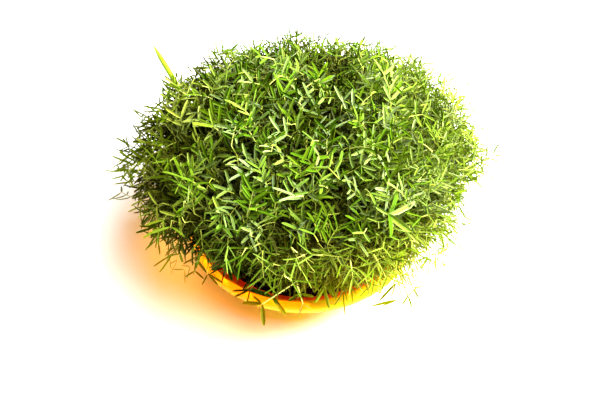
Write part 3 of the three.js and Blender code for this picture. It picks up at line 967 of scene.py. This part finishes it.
def bezier(points, steps):
    """Points along a cubic curve from its four control points."""
    a, b, c, d = points
    shares = [i / steps for i in range(steps + 1)]
    return [
        a * (1 - t) ** 3 + b * (3 * t * (1 - t) ** 2) + c * (3 * t * t * (1 - t)) + d * t**3 for t in shares
    ]


def on_fan_line(through, height):
    return FAN_POINT.lerp(through, (height - FAN_POINT.z) / (through.z - FAN_POINT.z))


def loose_vector(stream, reach):
    return Vector([stream.uniform(-reach, reach) for _ in range(3)])


def facing(ball, degrees):
    return ball.x * math.cos(math.radians(degrees)) + ball.y * math.sin(math.radians(degrees))


def skirt_lowest(ball):
    """How low on the dome shoots may end: high at the front, where the soil shows, and low at the back."""
    for degrees, share, lowest in BARE_SECTORS:
        if facing(ball, degrees) > share:
            return lowest
    return DOME_LOWEST if facing(ball, BACK_TURN) > BACK_SHARE else SIDE_LOWEST


def dome_shoots():
    """Lines from root to tip, each with the dome's outward direction and its depth at its tip."""
    stream = random.Random(SHOOT_SEED)
    shoots = []
    for index, up in enumerate(even_heights(SHOOT_COUNT)):
        out = math.sqrt(1 - up * up)
        turn = index * GOLDEN_ANGLE
        ball = Vector((out * math.cos(turn), out * math.sin(turn), up))
        outward = Vector((ball.x / DOME_RADIUS, ball.y / DOME_RADIUS, ball.z / DOME_HALF_HEIGHT)).normalized()
        if up < skirt_lowest(ball):
            continue
        tip = DOME_CENTRE + Vector((ball.x * DOME_RADIUS, ball.y * DOME_RADIUS, ball.z * DOME_HALF_HEIGHT))
        tip.z -= SAG * max(0.0, -up) * max(0.0, ball.dot(SAG_WAY))
        bulge = sum(reach * max(0.0, facing(ball, degrees)) ** BULGE_FOCUS for degrees, reach in BULGES)
        hollow = max(0.0, noise.noise(tip * HOLLOWS_PER_METRE))
        sunk = stream.uniform(0, TIP_DEPTH) + HOLLOW_DEPTH * hollow
        if stream.random() < STRAY_SHARE:
            sunk = -stream.uniform(0, STRAY_REACH)
            bulge *= STRAY_BULGE
        tip += loose_vector(stream, TIP_SHIFT) + outward * (bulge - sunk)
        through = Vector((tip.x * FAN_INSET, tip.y * FAN_INSET, max(tip.z, FAN_LOWEST)))
        root = on_fan_line(through, SOIL_TOP - ROOT_DEPTH)
        rise = on_fan_line(through, (SOIL_TOP + DOME_MIDDLE.z) / 2) + loose_vector(stream, BEND)
        arch = Vector((0, 0, SKIRT_ARCH * max(0.0, SKIRT_FROM - up)))
        before = tip - outward * TIP_RUN + arch + loose_vector(stream, BEND)
        shoots.append((bezier((root, rise, before, tip), LINE_STEPS), outward, SHADE_PER_METRE * sunk))
    return shoots


# %% Shoots of each clump
FOOT_REACH = 3 * MM


def clump_axes():
    """The direction from the fan point to the feet of each clump's stems in the frame."""
    ways = {}
    for name in clump_names:
        spots = [v.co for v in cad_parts[name].data.vertices]
        lowest = min(spot.z for spot in spots)
        feet = [spot for spot in spots if spot.z < lowest + FOOT_REACH]
        ways[name] = (sum(feet, Vector()) / len(feet) - FAN_POINT).normalized()
    return ways


def nearest_clump(spot):
    way = (spot - FAN_POINT).normalized()
    return max(axes, key=lambda name: axes[name].dot(way))


axes = clump_axes()
shoots_of = {name: [] for name in clump_names}
for shoot in dome_shoots():
    shoots_of[nearest_clump(shoot[0][0])].append(shoot)
print("shoots in each clump:", [len(shoots) for shoots in shoots_of.values()])

# %% [markdown]
# ## Seedlings of each clump
#
# Leaves differ round the dome: at the front they are fine and hang, at the right and the back they are
# small and many. So a clump is one piece for each such zone, with the zone's values as the tree's
# inputs. A piece that a tree grows is turned into a plain mesh at once, so nothing in the scene
# changes later.

# %% Pieces grown by a tree


def input_identifier(tree, label):
    sockets = (item for item in tree.interface.items_tree if item.item_type == "SOCKET")
    return next(item.identifier for item in sockets if item.in_out == "INPUT" and item.name == label)


def grown_piece(name, base_mesh, tree, values):
    """A plain mesh object from a base mesh and a Geometry Nodes tree with these input values."""
    piece = linked(name, base_mesh)
    modifier = piece.modifiers.new(tree.name, "NODES")
    modifier.node_group = tree
    for label, value in values.items():
        modifier[input_identifier(tree, label)] = value
    depsgraph = bpy.context.evaluated_depsgraph_get()
    made = bpy.data.meshes.new_from_object(
        piece.evaluated_get(depsgraph), preserve_all_data_layers=True, depsgraph=depsgraph
    )
    piece.modifiers.remove(modifier)
    piece.data = made
    made.name = name
    return piece


# %% Seedlings of each clump
SEEDLING_VALUES = {
    "Stem Radius": 0.55 * MM,
    "Leafy Share": 0.46,
    "Leaves Per Shoot": 6,
    "Spread": 1.7,
    "Outward": 0.1,
    "Droop": 0.0,
    "Tumble": 0.75,
    "Least Tint": 0.0,
    "Most Tint": 1.0,
    "Leaves": common_leaves,
    "Finish": seedling_green,
}
LEAF_ZONES = {
    "dome": {"Least Size": 0.72, "Most Size": 1.04, "Leaves Per Shoot": 7},
    "front": {
        "Least Size": 0.65,
        "Most Size": 1.0,
        "Leaves Per Shoot": 8,
        "Droop": 1.1,
        "Least Tint": 0.15,
        "Most Tint": 0.62,
        "Leaves": fine_leaves,
    },
    "left": {"Least Size": 0.7, "Most Size": 1.0, "Droop": 0.8, "Leaves": slender_leaves},
    "right": {"Least Size": 0.58, "Most Size": 0.82, "Leaves Per Shoot": 9, "Leaves": slender_leaves},
    "back": {"Least Size": 0.62, "Most Size": 0.86, "Leaves Per Shoot": 8, "Leaves": slender_leaves},
}
ZONE_LEAN = 0.3
EDGE_REACH = 96 * MM


def shoot_mesh(name, shoots):
    vertices, edges, directions, depths = [], [], [], []
    for line, outward, sunk in shoots:
        first = len(vertices)
        vertices += line
        edges += [(first + i, first + i + 1) for i in range(len(line) - 1)]
        directions += [value for _ in line for value in outward]
        depths += [sunk] * len(line)
    mesh = new_mesh(name, vertices, [], edges)
    mesh.attributes.new("outward", "FLOAT_VECTOR", "POINT").data.foreach_set("vector", directions)
    vertex_values(mesh, "sunk", depths)
    return mesh


def leaf_zone(axis, tip):
    """The zone of a shoot, by the side that its clump leans to and how far out its tip is."""
    if axis.x > ZONE_LEAN:
        return "right"
    if axis.y > ZONE_LEAN:
        return "back"
    if (tip - DOME_CENTRE).xy.length < EDGE_REACH:
        return "dome"
    if axis.y < -ZONE_LEAN:
        return "front"
    return "left" if axis.x < -ZONE_LEAN else "dome"


triangles = 0
for number, (name, shoots) in enumerate(shoots_of.items()):
    zones = {}
    for shoot in shoots:
        zones.setdefault(leaf_zone(axes[name], shoot[0][-1]), []).append(shoot)
    for zone, members in sorted(zones.items()):
        lines = shoot_mesh(f"{name}_{zone}_lines", members)
        values = {**SEEDLING_VALUES, **LEAF_ZONES[zone], "Seed": number}
        seedlings = grown_piece(f"seedlings_{name[-2:]}_{zone}", lines, leafy_shoots, values)
        stands_for(seedlings, "leaf_green", name, side_lit=True)
        triangles += sum(len(face.vertices) - 2 for face in seedlings.data.polygons)
print("seedlings:", triangles, "triangles")

# %% [markdown]
# ## Young sprouts at the edge and strands that hang
#
# At the front the dome stands back from the lip, and thin sprouts show against the soil. At the
# sides and the back leafier ones fill the room under the dome. A few thin strands have fallen out of
# the skirt at the left and the right and hang beside the dish. All of them are shoots as before,
# shorter or longer, so the same tree dresses them with other values.

# %% Edge sprouts
SPROUT_SEED = 12
SPROUT_ROOTS = (0.66, 0.95)
SPROUT_LEAN = (-0.1, 0.45)
SPROUT_SHIFT = 3 * MM
SPROUT_BEND = 2.5 * MM
SPROUT_BENDS_AT = (0.4, 0.75)
SPROUT_SHADE = -0.8
UPRIGHT = Vector((0, 0, 1))
FRONT_SPROUTS = {"count": 230, "turns": (222, 322), "heights": (22 * MM, 52 * MM)}
RING_SPROUTS = {"count": 250, "turns": (-45, 225), "heights": (26 * MM, 62 * MM)}
SPROUT_VALUES = {
    **SEEDLING_VALUES,
    "Stem Radius": 0.36 * MM,
    "Leafy Share": 0.3,
    "Leaves Per Shoot": 2,
    "Least Size": 0.35,
    "Most Size": 0.65,
    "Least Tint": 0.1,
    "Most Tint": 0.6,
    "Leaves": fine_leaves,
    "Seed": SPROUT_SEED,
}
RING_VALUES = {
    **SPROUT_VALUES,
    "Leafy Share": 0.6,
    "Leaves Per Shoot": 4,
    "Least Size": 0.5,
    "Most Size": 0.85,
    "Leaves": slender_leaves,
}


def edge_sprouts(count, turns, heights):
    stream = random.Random(SPROUT_SEED)
    shoots = []
    for _ in range(count):
        out = compass(stream.uniform(*turns))
        root = out * SOIL_EDGE * stream.uniform(*SPROUT_ROOTS)
        root.z = soil_height(root.x, root.y) - ROOT_DEPTH
        rise = UPRIGHT * stream.uniform(*heights)
        tip = root + rise + out * rise.z * stream.uniform(*SPROUT_LEAN) + loose_vector(stream, SPROUT_SHIFT)
        bends = [root + rise * share + loose_vector(stream, SPROUT_BEND) for share in SPROUT_BENDS_AT]
        shoots.append((bezier((root, *bends, tip), LINE_STEPS), out + UPRIGHT, SPROUT_SHADE))
    return shoots


def loose_shoots(name, shoots, values, side_lit=False):
    """A piece of shoots that stand in several clumps."""
    piece = grown_piece(name, shoot_mesh(f"{name}_lines", shoots), leafy_shoots, values)
    clumps = sorted({nearest_clump(line[0]) for line, _, _ in shoots})
    stands_for(piece, "leaf_green", *clumps, side_lit=side_lit)


loose_shoots("front_sprouts", edge_sprouts(**FRONT_SPROUTS), SPROUT_VALUES, side_lit=True)
loose_shoots("ring_sprouts", edge_sprouts(**RING_SPROUTS), RING_VALUES)

# %% Hanging strands
STRAND_SEED = 21
STRAND_COUNT = 12
STRAND_TURNS = ((180, 214), (298, 332))
STRAND_OUT = 0.88 * DOME_RADIUS
STRAND_REACH = (0.90, 0.99)
STRAND_ENDS = (48 * MM, 64 * MM)
STRAND_TOP = Vector((0, 0, -6)) * MM
STRAND_ARCH = 6 * MM
STRAND_ARCH_AT = 0.4
STRAND_SHADE = -0.6
STRAND_VALUES = {
    **SPROUT_VALUES,
    "Leaves Per Shoot": 4,
    "Spread": 0.8,
    "Droop": 0.5,
    "Least Size": 0.5,
    "Most Size": 0.8,
    "Least Tint": 0.0,
    "Seed": STRAND_SEED,
}


def hanging_strands():
    stream = random.Random(STRAND_SEED)
    shoots = []
    for turns in STRAND_TURNS:
        for _ in range(STRAND_COUNT):
            out = compass(stream.uniform(*turns))
            top = DOME_CENTRE + STRAND_TOP + out * STRAND_OUT
            tip = DOME_CENTRE + out * (DOME_RADIUS * stream.uniform(*STRAND_REACH))
            tip += loose_vector(stream, TIP_SHIFT)
            tip.z = stream.uniform(*STRAND_ENDS)
            root = on_fan_line(top, SOIL_TOP - ROOT_DEPTH)
            arch = top.lerp(tip, STRAND_ARCH_AT) + out * TIP_DEPTH
            arch.z = top.z + STRAND_ARCH
            shoots.append((bezier((root, top, arch, tip), LINE_STEPS), out, STRAND_SHADE))
    return shoots


loose_shoots("hanging_strands", hanging_strands(), STRAND_VALUES)

# %% [markdown]
# ## A seedling with broad leaves
#
# At the right front one seedling has larger, paler leaves than the others. The tree would put its
# leaves down by chance, so they are drawn: the same closed blades, spread like a star where the
# photograph shows them on the dome.

# %% Broad-leaved seedling
BROAD_HEART = (388, 214)
# Each leaf's tip by its pixel, and its tint.
BROAD_TIPS = ((399, 189, 0.1), (417, 202, 0.75), (376, 207, 0.6), (411, 232, 0.5), (392, 236, 0.2))
BROAD_STEM = (2 * RIB_RADIUS, 1.5 * RIB_RADIUS)
BROAD_SLIM = 0.11
BROAD_DROOP = 0.1
BROAD_LIFT = 3 * MM


def dome_spot(across, down, above):
    """The point behind a pixel on the dome of tips, grown by a height above it."""
    wide, tall = DOME_RADIUS + above, DOME_HALF_HEIGHT + above
    shape = Vector((1 / wide, 1 / wide, 1 / tall))
    ray = pixel_ray(across, down)
    from_camera = (CAMERA_SPOT - DOME_CENTRE) * shape
    step = ray * shape
    half = from_camera.dot(step) / step.dot(step)
    rest = (from_camera.dot(from_camera) - 1) / step.dot(step)
    return CAMERA_SPOT + ray * (-half - math.sqrt(half * half - rest))


def leaf_piece(name, plant):
    """A piece from a drawn plant, with the seedling finish and a tint for each leaf."""
    mesh = plant.mesh(name)
    vertex_values(mesh, "tint", plant.tints)
    vertex_values(mesh, "inside", plant.insides)
    mesh.materials.append(seedling_green)
    return linked(name, mesh)


def drawn_leaflet(plant, root, tip, up, slim, droop):
    """A leaflet between two points, with its upper side as near to a direction as it can be."""
    along = (tip - root).normalized()
    face = (up - along * up.dot(along)).normalized()
    length = (tip - root).length
    plant.leaflet(root, along, face, length, length * slim, droop)


def broad_leaves():
    plant = LeafPattern()
    heart = dome_spot(*BROAD_HEART, BROAD_LIFT)
    root = on_fan_line(heart, SOIL_TOP - ROOT_DEPTH)
    path = [root.lerp(heart, i / RIB_STEPS) for i in range(RIB_STEPS + 1)]
    plant.rib(path, *BROAD_STEM, hidden=RIB_STEPS)
    up = (heart - DOME_CENTRE).normalized()
    for across, down, plant.tint in BROAD_TIPS:
        drawn_leaflet(plant, heart, dome_spot(across, down, 2 * BROAD_LIFT), up, BROAD_SLIM, BROAD_DROOP)
    return plant


broad = leaf_piece("broad_leaves", broad_leaves())
stands_for(broad, "leaf_green", nearest_clump(dome_spot(*BROAD_HEART, 0)), side_lit=True)

# %% [markdown]
# ## Loose sprigs over the lip
#
# A few sprigs have slipped over the lip and hang there, and the photograph shows each of their
# leaflets. They could be left to chance as the dome is, but the eye goes to them first, so they are
# drawn one by one: the place where the stem comes out of the dome, a knot and the tips of the leaflets,
# each by its pixel. The stem itself grows out of the soil and arches over inside the dome. A cone that
# falls away from just above the lip gives the depth, so every sprig lies over the lip.

# %% Loose sprigs
APRON_TOP = DISH_HEIGHT + 7 * MM
APRON_SLOPE = 0.75
APRON_SEARCH = 120 * MM
APRON_HALVINGS = 30
SPRIG_LIFT = 34 * MM
SPRIG_TUCK = 0.8
SPRIG_RISE = 24 * MM
SPRIG_ARCH = Vector((0, 0, 14)) * MM
SPRIG_STEM = 0.75 * MM
SPRIG_STEM_END = 0.8
SHOWN_RINGS = 3
PALE_STEM = 0.3
SPRIG_UP = Vector((0, -0.45, 1))
SPRIG_DROOP = 0.03
WIDE_LEAF = 0.098
SHORT_LEAF = 0.085
FINE_LEAF = 0.06
THREAD_LEAF = 0.045
# Pixels where the stem comes out and of the knot, the tint, the leaf's width and pixels of the tips.
FRONT_SPRIGS = (
    ((308, 274), (262, 304), 0.35, WIDE_LEAF, ((242, 303), (264, 326), (253, 296))),
    ((308, 274), (272, 297), 0.42, WIDE_LEAF, ((286, 315), (249, 289))),
    ((296, 280), (300, 294), 0.35, WIDE_LEAF, ((288, 301), (314, 297))),
    ((297, 282), (303, 304), 0.9, FINE_LEAF, ((298, 317), (311, 309))),
    ((240, 256), (228, 264), 0.35, WIDE_LEAF, ((211, 270), (232, 281), (239, 279))),
)
EDGE_SPRIGS = (
    ((260, 276), (250, 290), 0.10, FINE_LEAF, ((232, 291), (234, 297), (247, 303))),
    ((196, 254), (195, 271), 0.05, FINE_LEAF, ((185, 277), (204, 279))),
    ((204, 250), (195, 258), 0.05, FINE_LEAF, ((183, 264), (207, 273))),
    ((216, 262), (208, 274), 0.12, FINE_LEAF, ((223, 283), (202, 285), (218, 285))),
    ((384, 268), (396, 283), 0.0, THREAD_LEAF, ((379, 301), (391, 297), (401, 287))),
    ((388, 272), (397, 300), 0.0, THREAD_LEAF, ((382, 306), (372, 306))),
    # Tints below zero take back part of the painted window light on the sprigs at the right.
    ((398, 270), (408, 296), -0.1, SHORT_LEAF, ((412, 308), (402, 305))),
    ((402, 262), (413, 288), -0.1, SHORT_LEAF, ((419, 299), (421, 287))),
    ((410, 246), (428, 257), -0.1, FINE_LEAF, ((417, 261), (421, 269), (434, 266))),
)


def apron_spot(across, down):
    """The point behind a pixel on the cone that falls away from just above the lip."""
    ray = pixel_ray(across, down)
    near, far = [(height - CAMERA_SPOT.z) / ray.z for height in (APRON_SEARCH, 0)]
    for _ in range(APRON_HALVINGS):
        middle = (near + far) / 2
        spot = CAMERA_SPOT + ray * middle
        cone_height = APRON_TOP - APRON_SLOPE * (math.hypot(spot.x, spot.y) - DISH_RADIUS)
        near, far = (middle, far) if spot.z > cone_height else (near, middle)
    return CAMERA_SPOT + ray * far


def loose_sprigs(sprigs):
    """The drawn plant, and the clumps that its stems stand in."""
    plant = LeafPattern()
    clumps = set()
    for way_out, knot_pixel, tint, slim, tips in sprigs:
        knot, comes_out = apron_spot(*knot_pixel), apron_spot(*way_out)
        comes_out += (CAMERA_SPOT - comes_out).normalized() * SPRIG_LIFT
        tucked = Vector((comes_out.x * SPRIG_TUCK, comes_out.y * SPRIG_TUCK, comes_out.z + SPRIG_RISE))
        root = on_fan_line(tucked, SOIL_TOP - ROOT_DEPTH)
        clumps.add(nearest_clump(root))
        stem = bezier((root, tucked, tucked + SPRIG_ARCH, comes_out), LINE_STEPS)
        stem += [comes_out.lerp(knot, 0.5), knot]
        radius = SPRIG_STEM * slim / WIDE_LEAF
        # Pale sprigs show their last rings in the stem's tip colour; the others have painted shade along the
        # whole stem.
        hidden = len(stem) - SHOWN_RINGS if tint > PALE_STEM else len(stem)
        plant.rib(stem, radius, radius * SPRIG_STEM_END, hidden)
        plant.tint = tint
        for tip in tips:
            drawn_leaflet(plant, knot, apron_spot(*tip), SPRIG_UP, slim, SPRIG_DROOP)
    return plant, sorted(clumps)


for name, sprigs, lit in (("front_sprigs", FRONT_SPRIGS, True), ("edge_sprigs", EDGE_SPRIGS, False)):
    sprig_plant, sprig_clumps = loose_sprigs(sprigs)
    stands_for(leaf_piece(name, sprig_plant), "leaf_green", *sprig_clumps, side_lit=lit)

# %% [markdown]
# ## Husks and crumbs on the soil
#
# Red-brown seed husks, crumbs and bits of root lie on the soil. The soil's finish could show them as
# spots, but real bits cast shadows. A tree scatters three small patterns over the bed's top, each turned
# and sized at random.

# %% Litter
LITTER_SEED = 4
LITTER_PER_SQUARE_METRE = 42000
LITTER_EDGE = 0.97 * SOIL_EDGE
LITTER_TILT = 0.6
LITTER_SIZES = (0.6, 1.15)
LITTER_INPUTS = {"Density": "Float", "Patterns": "Collection", "Finish": "Material", "Seed": "Int"}
LITTER_BROWNS = [
    (0.0, (0.030, 0.008, 0.006)),
    (0.55, (0.130, 0.026, 0.012)),
    (0.85, (0.30, 0.11, 0.03)),
    (1.0, (0.5, 0.38, 0.14)),
]
# Length, width and height of each pattern.
LITTER_KINDS = {
    "husk": (4.6 * MM, 4.0 * MM, 1.6 * MM),
    "crumb": (2.6 * MM, 2.2 * MM, 2.0 * MM),
    "root_bit": (8.0 * MM, 0.7 * MM, 0.7 * MM),
}
HUSK_SIDES = 7
BED_TOP_RINGS = 12
BED_TOP_SIDES = 48


def lens_mesh(name, length, width, height):
    """A closed lens with a flat ring and two raised middles."""
    ring = [2 * math.pi * i / HUSK_SIDES for i in range(HUSK_SIDES)]
    vertices = [(length / 2 * math.cos(t), width / 2 * math.sin(t), 0) for t in ring]
    vertices += [(0, 0, height / 2), (0, 0, -height / 2)]
    faces = []
    for i in range(HUSK_SIDES):
        after = (i + 1) % HUSK_SIDES
        faces += [(i, after, HUSK_SIDES), (after, i, HUSK_SIDES + 1)]
    return new_mesh(name, vertices, faces)


def litter_material():
    material, tree, shader = new_material("husk_brown", Roughness=0.6)
    colour = colour_ramp(tree, attribute(tree, "tint"), LITTER_BROWNS)
    tree.links.new(colour, shader.inputs["Base Color"])
    return material


def litter_tree():
    tree, given = new_tree("litter", LITTER_INPUTS)
    seed = given["Seed"]
    spots = node(tree, "GeometryNodeDistributePointsOnFaces", {
        "Mesh": given["Geometry"],
        "Density": given["Density"],
        "Seed": seed,
    })
    tilts = (-LITTER_TILT, -LITTER_TILT, 0), (LITTER_TILT, LITTER_TILT, 2 * math.pi)
    turn = random_value(tree, "FLOAT_VECTOR", *tilts)
    size = random_value(tree, "FLOAT", *LITTER_SIZES, seed)
    bits = strewn(tree, spots.outputs["Points"], given["Patterns"], len(LITTER_KINDS), 0, turn, size)
    tints = random_value(tree, "FLOAT", 0.0, 1.0, seed)
    end_tree(tree, stored(tree, bits, "tint", tints, "INSTANCE"), given["Finish"])
    return tree


def bed_top():
    """The top of the soil bed as an open sheet, only to scatter on."""
    rings = [(LITTER_EDGE * i / BED_TOP_RINGS, 0) for i in range(BED_TOP_RINGS + 1)]
    vertices, faces = turned([*rings, (0, 0)], BED_TOP_SIDES)
    faces = [face for face in faces if 1 not in face]
    return new_mesh("bed_top", [(x, y, soil_height(x, y)) for x, y, _ in vertices], faces)


litter_patterns = bpy.data.collections.new("litter_patterns")
for name, sizes in LITTER_KINDS.items():
    litter_patterns.objects.link(bpy.data.objects.new(name, lens_mesh(name, *sizes)))
litter = grown_piece("soil_litter", bed_top(), litter_tree(), {
    "Density": LITTER_PER_SQUARE_METRE,
    "Patterns": litter_patterns,
    "Finish": litter_material(),
    "Seed": LITTER_SEED,
})
stands_for(litter, "damp_soil", "soil")

# %% [markdown]
# ## The blade of grass
#
# One blade of grass has come up among the lentils at the back left. The tree's leaves are too short
# for it, so it is one long strip, folded along its middle, on the same line as its solid in the frame:
# through the leaves on a fan line and then upright to its tip.

# %% Grass blade
GRASS_OUT = Vector((-91, 60, 104)) * MM
GRASS_TIP_PIXEL, GRASS_TIP_DEPTH = (153, 45), 61 * MM
GRASS_KNEE = 12 * MM
GRASS_STRAIGHT = 0.6
GRASS_FACE = Vector((0, 0.68, -0.73))
GRASS_HALF_WIDTH = 1.9 * MM
GRASS_FOOT, GRASS_WIDENS = 0.35, 1.6
GRASS_END, GRASS_NARROWS = 0.15, 6
GRASS_FOLD = 0.35
GRASS_THICK = 0.25 * MM
GRASS_STEPS = 24
GRASS_STREAKS = 500
GRASS_GREENS = [(0.3, (0.30, 0.50, 0.008)), (0.7, (0.50, 0.66, 0.012))]
GRASS_THROUGH, GRASS_THROUGH_SHARE = (0.62, 0.80, 0.01, 1), 0.4


def grass_material():
    material, tree, shader = new_material("grass_green", Roughness=0.4)
    colour = colour_ramp(tree, object_noise(tree, GRASS_STREAKS, 2), GRASS_GREENS)
    tree.links.new(colour, shader.inputs["Base Color"])
    let_light_through(tree, shader, GRASS_THROUGH_SHARE, GRASS_THROUGH)
    return material


def grass_blade():
    root = on_fan_line(GRASS_OUT, SOIL_TOP - ROOT_DEPTH)
    knee = GRASS_OUT + (GRASS_OUT - root).normalized() * GRASS_KNEE
    end = photo_spot(*GRASS_TIP_PIXEL, GRASS_TIP_DEPTH)
    path = bezier((root, root.lerp(GRASS_OUT, GRASS_STRAIGHT), knee, end), GRASS_STEPS)
    vertices, faces = [], []
    for index, spot in enumerate(path):
        ahead = (path[min(index + 1, GRASS_STEPS)] - path[max(index - 1, 0)]).normalized()
        side = ahead.cross(GRASS_FACE).normalized()
        face = side.cross(ahead)
        share = index / GRASS_STEPS
        half = GRASS_HALF_WIDTH * min(1, GRASS_FOOT + share * GRASS_WIDENS)
        half *= min(1, GRASS_END + (1 - share) * GRASS_NARROWS)
        fold = face * (GRASS_FOLD * half)
        vertices += [spot + side * half + fold, spot + face * GRASS_THICK, spot - side * half + fold]
        vertices += [spot - face * GRASS_THICK]
    for i in range(GRASS_STEPS):
        for corner in range(4):
            after = (corner + 1) % 4
            faces.append((4 * i + corner, 4 * i + 4 + corner, 4 * i + 4 + after, 4 * i + after))
    faces += [(0, 1, 2, 3), tuple(4 * GRASS_STEPS + corner for corner in (3, 2, 1, 0))]
    return vertices, faces


grass = mesh_piece("grass_leaf", *grass_blade(), grass_material())
stands_for(grass, "grass_green", "grass_blade", side_lit=True)
